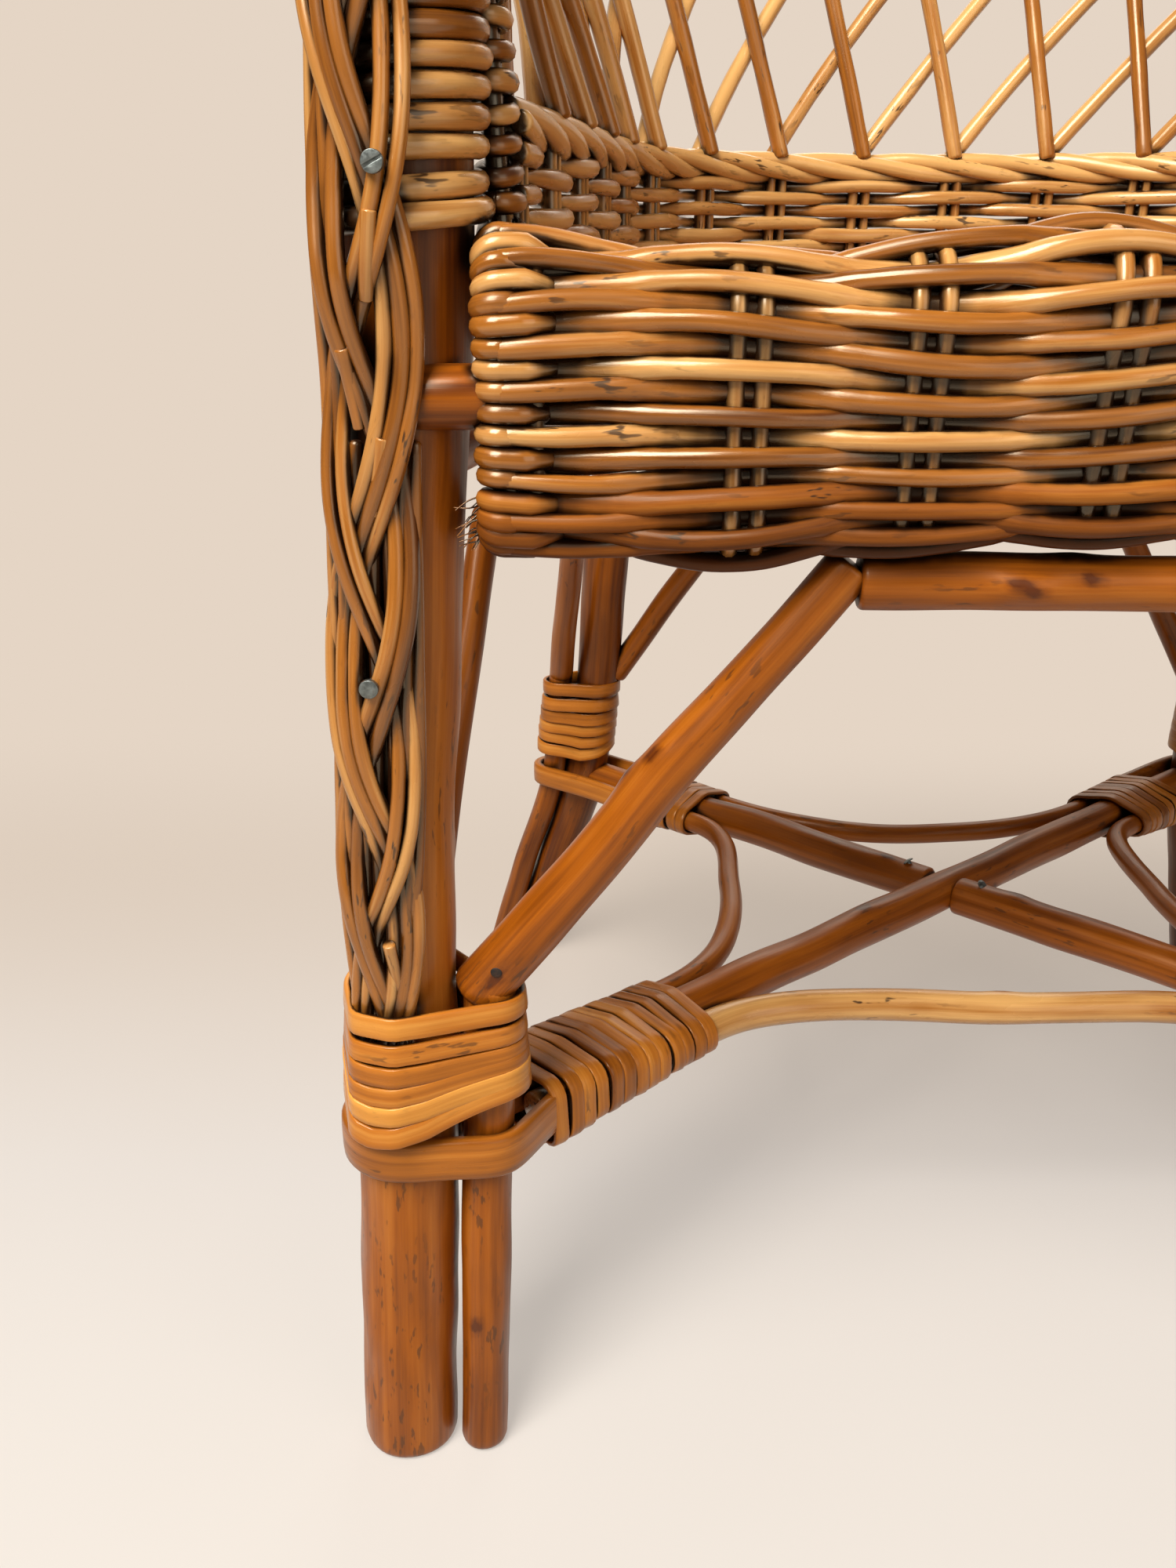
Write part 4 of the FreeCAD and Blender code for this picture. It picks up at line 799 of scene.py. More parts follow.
def corner_binding(node, corner, lanes, turns, count, seed):
    """Cane wound round a cross pole and the straps beside it, which turn into round bows.

    Lanes are (offset, radius of the bow, half height of the strap at the leg's end).
    """
    bundle = Bundle(seed)
    rng = bundle.rng
    along = unit(cross_middle - corner)
    left = np.cross(UP, along)
    step = (CANE_STEP * turns + CANE_END) / count
    for turn in range(count):
        flatness = 1 - turn / (count - 1)
        circles = [(0.0, 0.0, CROSS_RADIUS)]
        for offset, radius, tall in lanes:
            thin = radius - 0.32 * radius * flatness
            reach = offset + math.copysign(radius - thin, offset)
            circles += [(reach, sign * (tall - thin) * flatness - 0.8 * flatness, thin) for sign in SIGNS]
        ring = girth(circles, 0.4)[:-1]
        ring = np.roll(ring, -int(np.argmin(ring[:, 1])), axis=0)
        order = np.arange(len(ring) + TURN_OVERLAP)
        share = order / len(ring)
        spots = ring[order % len(ring)] * rng.uniform(0.995, 1.025)
        reach = BOW_START + 0.5 + (turn + share * 0.8) * step
        reach = reach + rng.uniform(-1.0, 1.0) * np.sin(FULL_TURN * share)
        reach = reach + drift(share * 90, 80.0, 0.3, rng)
        away = spots[:, :1] * left + spots[:, 1:] * UP
        path = corner + reach[:, None] * along + away
        wound(bundle, path, along, away, (-0.07, 0.07), (0.9 * step, 0.99 * step), CORNER_CANE, (0.1, 0.75))
    bundle.piece(node + ".cane", cane_finish, node)


for word, side in SIDES:
    seed = 300 if side < 0 else 320
    beside = (front_doubler_at(side, CROSS_Z) - front_corner[side])[:2]
    bare = [(0.0, 0.0, LEG_RADIUS), (*beside, DOUBLER_RADIUS)]
    tailed = bare + [(side * x, y, radius) for x, y, radius in PLAIT_TAIL]
    strap("front_leg_loop_" + word, front_corner[side], bare, FRONT_LANE, 11.4, 3.2, seed)
    leg_binding("front_leg_binding_" + word, front_leg_at, side, tailed, seed + 1, 1.0)
    lanes = ((side * FRONT_LANE, BOW_RADIUS, 8.4), (-side * THIN_LANE, THIN_BOW_RADIUS, 5.4))
    corner_binding("front_corner_binding_" + word, front_corner[side], lanes, FRONT_TURNS, 13, seed + 2)
    beside = (rear_doubler_at(side, CROSS_Z) - rear_corner[side])[:2]
    bare = [(0.0, 0.0, REAR_RADIUS), (*beside, REAR_DOUBLER_RADIUS)]
    strap("rear_leg_loop_" + word, rear_corner[side], bare, THIN_LANE, 8.4, 2.0, seed + 3)
    leg_binding("rear_leg_binding_" + word, rear_leg_at, side, bare, seed + 4, 0.5)
    lanes = ((THIN_LANE, THIN_BOW_RADIUS, 5.0), (-THIN_LANE, THIN_BOW_RADIUS, 5.0))
    corner_binding("rear_corner_binding_" + word, rear_corner[side], lanes, REAR_TURNS, 7, seed + 5)


# Weaving over and under stakes

def woven(bundle, surface, rows, span, stakes, reach, radius, step, wander, sides, swell,
          shade=None, first=0):
    """Rows of rods that pass in front of and behind the stakes by turns.

    Swell is how much thicker a rod is where it lies behind; shade gives a row's change of tone, which
    carries painted light and shade;
    first is the number of the first row, which sets where it starts.
    """
    rng = bundle.rng
    order = np.arange(len(stakes))
    tones = []
    for number, row in enumerate(rows, first):
        low, high = span(row)
        along = np.linspace(low, high, max(int((high - low) / step), 4))
        phase = np.interp(along, stakes, order)
        phase = phase + np.minimum(along - stakes[0], 0) / (stakes[1] - stakes[0])
        phase = phase + np.maximum(along - stakes[-1], 0) / (stakes[-1] - stakes[-2])
        wave = np.cos(math.pi * (phase + number))
        out = reach * np.sign(wave) * np.abs(wave) ** 0.8
        across = row + drift(along, 95.0, wander, rng)
        taper = rng.uniform(-0.22, 0.22)
        thick = radius * rng.uniform(0.86, 1.1) * (1 + swell * np.clip(0.45 - wave, 0, 1.2))
        tone = rng.uniform(0.12, 0.88) + (shade(row) if shade else 0.0)
        bundle.rod(surface(along, across, out), thick, sides, taper, tone=tone)
        tones.append(tone)
    return tones


def staked(bundle, surface, stakes, pair, marks, out, radius, **looks):
    """Pairs of stakes that stand in a woven surface."""
    for stake, offset in itertools.product(stakes, pair):
        path = surface(np.full_like(marks, stake + offset), marks, np.full_like(marks, out))
        bundle.rod(path, radius, **looks)


APRON_CREST = 14.0
APRON_HEEL = 9.0
APRON_REACH = 2.5
APRON_ROD = 2.05
APRON_DEPTH = APRON_REACH + APRON_ROD
APRON_INSET = 5.5
CREST_MARK = 24.0
CREST_LIFT = 2.4
# Swellings of the crest and the underside: middle, width, height
HUMPS = ((-28.0, 22.0, 4.6), (-82.0, 22.0, -1.4), (70.0, 26.0, 2.5), (-134.0, 14.0, 2.2))
BELLIES = ((-92.0, 30.0, 3.6), (10.0, 60.0, -1.6), (96.0, 28.0, 2.6))
FIRST_UNDER_ROW = 19
SHORT_LEAD = 9.5
LONG_LEADS = (13.0, 15.5)
FIBRES = 18
FRAY_X = 138.5
FRAY_Z = 252.0


def side_arc(y, z, radius, start, end, count):
    """Points of an arc seen from the chair's side, between bearings in degrees."""
    bearings = np.radians(np.linspace(start, end, count))
    return [(0.0, y + radius * math.cos(t), z + radius * math.sin(t)) for t in bearings]


apron_outline = [
    (0.0, SEAT_FRONT - FIT, SEAT_TOP),
    *side_arc(APRON_FACE + APRON_CREST, APRON_TOP - APRON_CREST, APRON_CREST, 90, 180, 13),
    *side_arc(APRON_FACE + APRON_HEEL, APRON_UNDER + APRON_HEEL, APRON_HEEL, 180, 270, 10),
    (0.0, LEG_Y + LEG_RADIUS / 2, APRON_UNDER),
]
apron_outline = smoothed(even(apron_outline, 1.0), 8)
apron_marks = lengths(apron_outline)
apron_out = normalised(np.cross(np.gradient(apron_outline, axis=0), ACROSS))
foot_mark = apron_marks[-1] - 17.0


def swellings(along, places):
    """Height of soft swellings of (middle, width, height)."""
    return sum(height * np.exp(-((along - middle) / width) ** 2) for middle, width, height in places)


def apron_surface(along, across, out):
    """Point of the apron: across the chair, down its roll, out of its face."""
    sway = 1.5 * np.sin(along / 27.0 + across / 14.0) + 1.0 * np.sin(along / 16.0 - across / 23.0)
    mark = np.clip(across + sway, 0.0, apron_marks[-1])
    near_crest = np.exp(-((mark - CREST_MARK) / 20.0) ** 2)
    near_foot = np.exp(-((mark - foot_mark) / 17.0) ** 2)
    lift = out - APRON_DEPTH + near_crest * (swellings(along, HUMPS) + CREST_LIFT)
    lift = lift + near_foot * swellings(along, BELLIES)
    points = along_line(mark, apron_marks, apron_outline)
    points = points + lift[:, None] * along_line(mark, apron_marks, apron_out)
    points[:, 0] = along
    return points


def apron_light_and_shade(row):
    """Painted light and shade: rods are painted paler on the crest and darker under the roll."""
    return float(np.interp(row, (10.0, 45.0, foot_mark - 22.0, foot_mark + 4.0), (0.35, 0.0, 0.0, -0.6)))


def apron_span(row):
    """Left and right ends of a row of the apron."""
    return -APRON_HALF + APRON_INSET, APRON_HALF - APRON_INSET


apron = Bundle(400)
apron_under = Bundle(401)
apron_stakes = np.array((-130.0, -87.4, -54.5, -18.9, 16.5, 51.5, 86.5, 130.0))
apron_rows = np.linspace(2.0, apron_marks[-1] - 2.5, 28)
apron_tones = []
# Rows from FIRST_UNDER_ROW on take the darker, duller finish: painted shade under the roll.
for weave, first, last in ((apron, 0, FIRST_UNDER_ROW), (apron_under, FIRST_UNDER_ROW, len(apron_rows))):
    apron_tones += woven(
        weave, apron_surface, apron_rows[first:last], apron_span, apron_stakes, APRON_REACH, APRON_ROD,
        step=2.0, wander=0.42, sides=12, swell=0.45, shade=apron_light_and_shade, first=first)
staked(apron, apron_surface, apron_stakes, (-2.6, 2.4), np.arange(0.0, apron_marks[-1], 2.0), 0.0, 1.9,
       taper=0.1, tone=0.75)
for side in SIGNS:
    for number, row in enumerate(apron_rows):
        shown = number % 2 == (0 if side < 0 else 1)
        turn = np.linspace(0, math.pi, 15)
        lead = np.linspace(SHORT_LEAD if shown else apron.rng.uniform(*LONG_LEADS), APRON_INSET, 9)
        start = APRON_REACH * 0.3 if shown else -0.8
        along = np.concatenate((lead, 5.0 - (APRON_REACH + 0.6) * np.sin(turn), lead[::-1]))
        out = np.concatenate((
            np.interp(lead, (5, 0.7 * lead[0], lead[0]), (APRON_REACH, 0.9 * APRON_REACH, start)),
            APRON_REACH * np.cos(turn),
            np.full_like(lead, -APRON_REACH),
        ))
        across = np.full_like(along, row + apron.rng.uniform(-0.4, 0.4))
        path = apron_surface(side * (APRON_HALF - along), across, out)
        weave = apron if number < FIRST_UNDER_ROW else apron_under
        weave.rod(path, APRON_ROD * apron.rng.uniform(0.95, 1.15), 12, tone=apron_tones[number] + 0.1)
    for _ in range(FIBRES):
        spread = apron.rng.uniform(-1, 1, 3)
        root = np.array((side * FRAY_X, APRON_FACE + 8.0 + 3.0 * spread[0], FRAY_Z + 5.0 * spread[1]))
        tip = root + np.array((side * (3.5 + 2.0 * spread[2]), -1.5, -3.5 * apron.rng.uniform(-0.3, 1.4)))
        middle = (root + tip) / 2 + apron.rng.uniform(-0.8, 0.8, 3)
        apron.rod(eased((root, middle, tip), 1.0), 0.16, 5, 0.6, tone=0.2, edges=(0.1, 0.1))
apron.piece("apron_weave", rod_finish, "front_apron")
apron_under.piece("apron_under_weave", painted_shade_rod_finish, "front_apron")

# Seat, band and the rope-like border on one plan curve

TAPER = math.radians(10.0)
BORDER_START_X = -134.0
BORDER_CORNER = 95.0
BORDER_BACK = LEG_Y + 226.0
LATTICE_STEP = 31.0
LATTICE_RADIUS = 2.4
STAKE_PAIR = (-2.1, 2.1)
STAKE_ROD = 1.8
WEAVE_ROD = 1.95
BAND_ROWS = 8
# Lift of the band rows' tone: painted light.
BAND_PAINTED_LIGHT = 0.4
ROPE_STRANDS = 4
ROPE_LAY = 96.0
ROPE_ROD = 2.5
ROPE_RISE = 3.9
SEAT_STAKE_STEP = 18.3
SEAT_ROW_STEP = 4.3


def border_plan(offset):
    """Plan curve of the band, left end to right end."""
    along = np.array((math.sin(TAPER), math.cos(TAPER), 0))
    outward = np.array((-math.cos(TAPER), math.sin(TAPER), 0))
    radius = BORDER_CORNER + offset
    start = np.array((BORDER_START_X, SEAT_FRONT, 0)) + outward * offset
    start = start + along * ((SEAT_FRONT - start[1]) / along[1])
    corner = start + along * ((BORDER_BACK + offset - start[1]) / along[1])
    bend_end = corner + ACROSS * (radius * math.tan((math.pi / 2 - TAPER) / 2))
    bearings = np.linspace(math.pi - TAPER, math.pi / 2, 24)
    bend = np.stack((np.cos(bearings), np.sin(bearings), np.zeros_like(bearings)), axis=1)
    left = np.concatenate(([start], bend_end - BACK * radius + radius * bend))
    return even(np.concatenate((left, left[::-1] * (-1, 1, 1))), 1.0)


border = border_plan(0.0)
border_marks = lengths(border)
border_length = border_marks[-1]
border_out = normalised(np.cross(UP, np.gradient(border, axis=0)))


def on_border(along, z, out):
    """Point of the band: along its plan curve, up, and out of its face."""
    points = along_line(along, border_marks, border)
    points = points + along_line(along, border_marks, border_out) * np.asarray(out)[:, None]
    points[:, 2] = z
    return points


def band_span(row):
    """Both ends of a row of the band along its plan curve."""
    return 1.0, border_length - 1.0


stake_count = int(border_length / LATTICE_STEP)
stake_margin = (border_length - stake_count * LATTICE_STEP) / 2
band_stakes = stake_margin + LATTICE_STEP * np.arange(stake_count + 1)

band = Bundle(410)
band_rows = np.linspace(SEAT_TOP + 1.8, BAND_TOP - 1.4, BAND_ROWS)
woven(band, on_border, band_rows, band_span, band_stakes, 2.3, WEAVE_ROD,
      step=2.2, wander=0.45, sides=SIDES_OF_ROD, swell=0.12, shade=lambda row: BAND_PAINTED_LIGHT)
stake_heights = np.arange(SEAT_TOP - 4.0, BAND_TOP + 6.0, 2.5)
staked(band, on_border, band_stakes, STAKE_PAIR, stake_heights, -0.5, STAKE_ROD, sides=8, tone=0.8)
band.piece("band_weave", rod_finish, "seat_band")

border_rope = Bundle(420)
rope_marks = np.arange(1.0, border_length - 1.0, 1.6)
for strand in range(ROPE_STRANDS):
    turn = FULL_TURN * rope_marks / ROPE_LAY + strand * FULL_TURN / ROPE_STRANDS
    turn = turn + drift(rope_marks, 150.0, 0.25, border_rope.rng)
    path = on_border(rope_marks, BAND_TOP + ROPE_RISE + 2.4 * np.sin(turn), 2.7 * np.cos(turn))
    # Tones above one paint the rope paler: painted light.
    border_rope.rod(path, ROPE_ROD, 12, tone=border_rope.rng.uniform(1.0, 1.7))
border_rope.piece("border_rope", rod_finish, "waling_border")

seat_outline = border_plan(-1.0)


def seat_span(row):
    """Left and right ends of a seat row at a depth."""
    left = seat_outline[:len(seat_outline) // 2]
    x = np.interp(row, left[:, 1], left[:, 0])
    return x, -x


def seat_surface(along, across, out):
    """Point of the seat: across, back, up; the middle sags a little."""
    sag = 1.6 * np.exp(-(along / 85.0) ** 2 - (across / 80.0) ** 2)
    return np.stack((along, across, (SEAT_BOTTOM + SEAT_TOP) / 2 + out - sag), axis=1)


seat = Bundle(430)
seat_stakes = SEAT_STAKE_STEP * np.arange(-7, 8)
seat_rows = np.arange(SEAT_FRONT + SEAT_ROW_STEP / 2, BORDER_BACK - 3.0, SEAT_ROW_STEP)
woven(seat, seat_surface, seat_rows, seat_span, seat_stakes, 2.2, WEAVE_ROD,
      step=2.4, wander=0.3, sides=8, swell=0.3)
for stake in seat_stakes:
    inside = [point for point in seat_outline if abs(point[0] - stake) < 1.0]
    end = max(point[1] for point in inside) if inside else seat_outline[:, 1].max()
    depths = np.arange(SEAT_FRONT, max(end - 1.0, SEAT_FRONT + 8.0), 2.5)
    staked(seat, seat_surface, [stake], STAKE_PAIR, depths, 0.0, STAKE_ROD, sides=8, tone=0.3)
seat.piece("seat_rods", rod_finish, "seat_weave")

# Top rim: core rod, braided rods round it, and the lattice below

RIM_DEPTH = 276.0
RIM_RISE = BACK_Z - ARM_Z
BRAID_STRANDS = 5
BRAID_STEP = 84.0 / (2 * BRAID_STRANDS)
BRAID_REACH = 8.2
BRAID_ROD = 2.15
LATTICE_FOOT = BAND_TOP + 7.6
LATTICE_PARTS = 48
LAYER = LATTICE_RADIUS + 0.15

arm_x = front_leg_at(-1, ARM_Z)[0]
rim_half = [
    (np.array((arm_x, LEG_Y - LEG_RADIUS, ARM_Z)), BACK),
    (np.array((arm_x, LEG_Y + LEG_RADIUS + 8.3, ARM_Z)), BACK),
    (np.array((-158.0, LEG_Y + RIM_DEPTH * 0.42, ARM_Z + 16)), np.array((0.02, 1, 0.32))),
    (np.array((-118.0, LEG_Y + RIM_DEPTH * 0.86, ARM_Z + RIM_RISE * 0.74)), np.array((0.72, 0.62, 0.52))),
]
rim_stations = rim_half + [(np.array((0, LEG_Y + RIM_DEPTH, BACK_Z)), ACROSS)]
rim_stations += [(point * (-1, 1, 1), heading * (1, -1, -1)) for point, heading in reversed(rim_half)]
pole("rim_core_rod", through(rim_stations, 2.5), (5.5, 5.5), 221, 0.4, edges=BUTT, sway=0.2, sides=16)
rim = through(rim_stations[1:-1], 1.8)
rim_marks = lengths(rim)
rim_heading = headings(rim)
rim_side = normalised(np.cross(rim_heading, UP))
rim_top = np.cross(rim_side, rim_heading)

rim_braid = Bundle(440)
crossings = round(rim_marks[-1] / BRAID_STEP)
braid_turn = FULL_TURN * rim_marks / (2 * BRAID_STRANDS * rim_marks[-1] / crossings)
for sense, strand in itertools.product(SIGNS, range(BRAID_STRANDS)):
    turn = sense * braid_turn + FULL_TURN * strand / BRAID_STRANDS
    turn = turn + drift(rim_marks, 130.0, 0.06, rim_braid.rng)
    reach = BRAID_REACH + sense * 1.5 * np.cos(BRAID_STRANDS * braid_turn + math.pi * strand)
    path = rim + (reach * np.cos(turn))[:, None] * rim_side + (reach * np.sin(turn))[:, None] * rim_top
    rim_braid.rod(path, BRAID_ROD)
rim_braid.piece("rim_braid", rod_finish, "rim_plait")

low_share = border_marks / border_length
high_share = rim_marks / rim_marks[-1]


def wall_point(share, rise, offset):
    """Point of the tub wall and its height there: share along it, rise to the rim, offset outwards."""
    low = along_line(share, low_share, border)
    low[2] = LATTICE_FOOT
    high = along_line(share, high_share, rim)
    away = along_line(share, low_share, border_out)
    return low + (high - low) * rise + away * offset, np.linalg.norm(high - low)


def lattice(node, name, degrees, offset, seed, tones):
    """One layer of leaning rods from the border up into the rim."""
    bundle = Bundle(seed)
    lean = math.tan(math.radians(degrees))
    step = LATTICE_STEP / border_length
    spare = int(abs(lean) * BACK_Z / LATTICE_STEP) + 1
    count = int(1 / step)
    margin = (1 - count * step) / 2
    for number in range(-spare, count + spare + 1):
        share = margin + number * step
        points = []
        for part in range(LATTICE_PARTS + 1):
            point, height = wall_point(min(max(share, 0.0), 1.0), part / LATTICE_PARTS, offset)
            if 0 <= share <= 1:
                points.append(point)
            share += lean * height / LATTICE_PARTS / border_length
        if len(points) < LATTICE_PARTS / 3:
            continue
        path = even(points, 3.0)
        marks = lengths(path)
        sway = drift(marks, 120.0, 0.9, bundle.rng) * np.sin(math.pi * marks / marks[-1])
        path = path + sway[:, None] * unit(np.cross(path[-1] - path[0], UP))
        bundle.rod(path, LATTICE_RADIUS, taper=0.16, tone=bundle.rng.uniform(*tones))
    bundle.piece(name, rod_finish, node)


# The outer slack rods get paler tones than the inner steep ones: painted light.
lattice("lattice_inner", "lattice_steep_rods", -12.0, -LAYER, 450, (0.3, 0.9))
lattice("lattice_outer", "lattice_slack_rods", 38.0, LAYER, 451, (0.7, 1.3))

# Coiled rods on the arm posts

COIL_TURNS = 23
COIL_ROD = 2.28
COIL_PARTS = 40
COIL_RISES = ((0.0, 0.7, 1.4, 2.2, COIL_TURNS), (303.8, 309.0, 311.0, 317.2, ARM_Z - 14.0))
COIL_LOOSE = ((0.0, 1.2, 2.2), (2.2, 1.2, 0.0))
COIL_ROD_PARTS = 3 * COIL_PARTS
POST_STAKE_FOOT = (134.2, SEAT_FRONT - 3.5)
POST_STAKE_SPREAD = 8.0
POST_STAKE_ROD = 2.2
COIL_DRAWN_IN = 3.2


def post_coil(word, side):
    """Rod wound round an arm post, and a wrapped pair of stakes beside the post."""
    coil = Bundle(460 + side)
    turn = np.arange(0, COIL_TURNS, 1 / COIL_PARTS)
    rise = np.interp(turn, *COIL_RISES) + drift(turn, 3.7, 0.35, coil.rng)
    bearing = side * FULL_TURN * (turn + 0.1)
    reach = LEG_RADIUS + FIT + COIL_ROD + 0.5 + drift(turn, 5.1, 0.5, coil.rng)
    reach = reach + np.interp(turn, *COIL_LOOSE) * (0.5 - 0.5 * np.cos(bearing))
    reach = reach - COIL_DRAWN_IN * np.clip(side * np.sin(bearing), 0, 1)
    path = np.array([front_leg_at(side, z) for z in rise])
    path[:, 0] += reach * np.sin(bearing)
    path[:, 1] += reach * np.cos(bearing)
    for first in range(0, len(path) - 8, COIL_ROD_PARTS):
        coil.rod(path[first:first + COIL_ROD_PARTS + 3], COIL_ROD, 12, 0.12)

    def beside(z, offset):
        """Points of the stakes beside the post at heights."""
        x = side * (POST_STAKE_FOOT[0] + np.interp(z, (SEAT_TOP, ARM_Z), (0.0, POST_STAKE_SPREAD)))
        return np.stack((x, np.full_like(x, POST_STAKE_FOOT[1] + offset), z), axis=-1)

    for offset in (-2.3, 2.3):
        coil.rod(beside(np.arange(SEAT_TOP - 4.0, ARM_Z - 4.0, 3.0), offset), POST_STAKE_ROD, tone=0.35)
    for z in np.arange(SEAT_TOP + 4.0, BAND_TOP + 30.0, 5.2):
        bearing = np.linspace(0, FULL_TURN, 26) + coil.rng.uniform(0, FULL_TURN)
        lean = coil.rng.uniform(-1.2, 1.2)
        wrap = np.stack((3.3 * np.cos(bearing), 6.0 * np.sin(bearing), lean * np.sin(bearing)), axis=1)
        coil.rod(beside(z, 0.0) + wrap, coil.rng.uniform(1.8, 2.2))
    coil.piece("post_coil_" + word + ".rods", rod_finish, "post_coil_" + word)


for word, side in SIDES:
    post_coil(word, side)

# Plaits on the legs, and their nails

PLAIT_LOW = LEG_RADIUS + FIT + 4.0
PLAIT_HIGH = LEG_RADIUS + FIT + 4.5 + FIT + 4.0
PLAIT_OFFSET = 2.5
PLAIT_PERIOD = 130.0
PLAIT_SWING = 6.7
PLAIT_CROSSING = 319.1
PLAIT_CURVE = 17.5
PLAIT_CREST = ARM_Z + 8.0
PLAIT_BEND = PLAIT_HIGH * 0.85
PLAIT_STRAIGHT = PLAIT_CREST - PLAIT_BEND
PLAIT_SHIFT = 0.7
PLAIT_HALF = 14.0
PLAIT_WAVE = 1.9
PLAIT_RODS = (1.4, 1.75)
TIP_ROD = 1.5
BACKING_ROD = 1.4
PLAIT_CLOSE = ((0.0, 24.0, 60.0), (0.6, 0.75, 1.0))
PLAIT_LOOSE = ((0.0, 24.0, 48.0), (0.0, 0.15, 1.0))
PLAIT_PALE = ((70.0, 150.0), (0.12, 0.0))
STRAND_RODS = ((-2.7, 0.0, 2.7), (-1.6, 1.6), (-1.6, 1.6))
# Cut tips: height, place across, lean
CUT_TIPS = ((309.4, 2.3, -0.1), (286.0, -4.0, 0.18), (270.2, 3.2, -0.17), (162.0, 2.4, 0.12))
CUT_TIP_POINTS = 9
# Rods behind the strands: place across, height of the upper end, depth, tone
PLAIT_BACKING = (
    (6.4, 268.0, -1.5, 0.1), (8.6, 268.0, -1.5, 0.1),
    (-3.0, 268.0, -1.9, 0.3), (0.2, 268.0, -1.9, 0.3), (3.4, 268.0, -1.9, 0.3),
    (-8.4, PLAIT_STRAIGHT, -1.5, 0.55), (-6.0, PLAIT_STRAIGHT, -1.5, 0.3),
)


def plait_spine(side):
    """Middle line of a plait: up the front of the leg and over the arm."""
    def point(height, reach):
        """Point in front of the leg's axis."""
        return front_leg_at(side, height) + np.array((side * PLAIT_OFFSET, -reach, 0))

    lean = unit(front_leg_at(side, ARM_Z) - front_leg_at(side, 0))
    rising = (
        (WRAP_TOP - 24.0, LEG_RADIUS - 3.0), (WRAP_TOP - 2.0, PLAIT_LOW - 2.4),
        (WRAP_TOP + 30.0, PLAIT_LOW), (RAIL_Z, PLAIT_LOW),
        (APRON_TOP, PLAIT_HIGH), (PLAIT_STRAIGHT, PLAIT_HIGH),
    )
    over = point(PLAIT_CREST, PLAIT_HIGH - PLAIT_BEND)
    behind = np.array((over[0], LEG_Y + LEG_RADIUS + 8.0, over[2]))
    return through([(point(*place), lean) for place in rising] + [(over, BACK), (behind, BACK)], 1.8)


def leg_plait(word, side):
    """Three strands of rods plaited up a leg, with cut tips and rods behind them."""
    plait = Bundle(470 + side)
    rng = plait.rng
    spine = plait_spine(side)
    marks = lengths(spine)
    sideways = ACROSS * -side
    front = normalised(np.cross(ACROSS, headings(spine)))
    climb = spine[spine[:, 2] < PLAIT_STRAIGHT, 2]

    def on_plait(first, last, wide, deep):
        """Points beside and before the plait's middle line, curved round the leg."""
        wide = wide - PLAIT_SHIFT
        aside = np.clip(wide - PLAIT_OFFSET, -PLAIT_HALF, PLAIT_HALF)
        away = PLAIT_CURVE - np.sqrt(PLAIT_CURVE ** 2 - aside ** 2)
        return spine[first:last] + wide[:, None] * sideways + (deep - away)[:, None] * front[first:last]

    close = np.interp(marks, *PLAIT_CLOSE)
    loose = np.interp(marks, *PLAIT_LOOSE)
    crossing = np.interp(PLAIT_CROSSING, climb, marks[:len(climb)])
    for strand, places in enumerate(STRAND_RODS):
        turn = FULL_TURN * (marks - crossing) / PLAIT_PERIOD + math.pi + FULL_TURN * strand / 3
        swing = PLAIT_SWING * (np.sin(turn) + 0.04 * np.sin(3 * turn))
        for place in places:
            wide = swing + place + drift(marks, 110.0, 0.5, rng)
            deep = PLAIT_WAVE * np.sin(2 * turn) * loose + drift(marks, 90.0, 0.25, rng)
            tone = rng.uniform(0.05, 0.75) + np.interp(marks, *PLAIT_PALE)[:, None]
            path = on_plait(0, len(spine), wide * close, deep)
            plait.rod(path, rng.uniform(*PLAIT_RODS), 12, 0.12, tone=tone)
    for height, wide, lean in CUT_TIPS:
        last = int(np.searchsorted(climb, height))
        first = max(last - CUT_TIP_POINTS, 0)
        drop = marks[last - 1] - marks[first:last]
        path = on_plait(first, last, wide + lean * drop, 2.3 - 0.17 * drop)
        plait.rod(path, TIP_ROD, 12, tone=0.6, edges=(0.3, 0.4))
    for wide, height, deep, tone in PLAIT_BACKING:
        last = int(np.searchsorted(climb, height))
        aside = wide * close[:last] + drift(marks[:last], 130.0, 0.5, rng)
        plait.rod(on_plait(0, last, aside, np.full(last, deep)), BACKING_ROD, 12, tone=tone)
    plait.piece("leg_plait_" + word + ".rods", rod_finish, "leg_plait_" + word)


for word, side in SIDES:
    leg_plait(word, side)

NAIL_HEAD = 1.95
NAIL_SHANK = 0.8
SCRATCH = 0.14
SCRATCH_LEAN = math.radians(27.0)
# Nails: height, reach before the leg's axis, place across, scratched or not
NAIL_SEATS = ((220.5, PLAIT_LOW + 4.0, 3.4, False), (315.5, PLAIT_HIGH + 4.0, -0.2, True))


def half_disc():
    """Half of a nail's face beside a scratch, about the middle of the half."""
    lean = math.asin(SCRATCH)
    turns = np.linspace(lean, math.pi - lean, 15)
    return np.stack((np.cos(turns), np.sin(turns) - 0.5), axis=1)


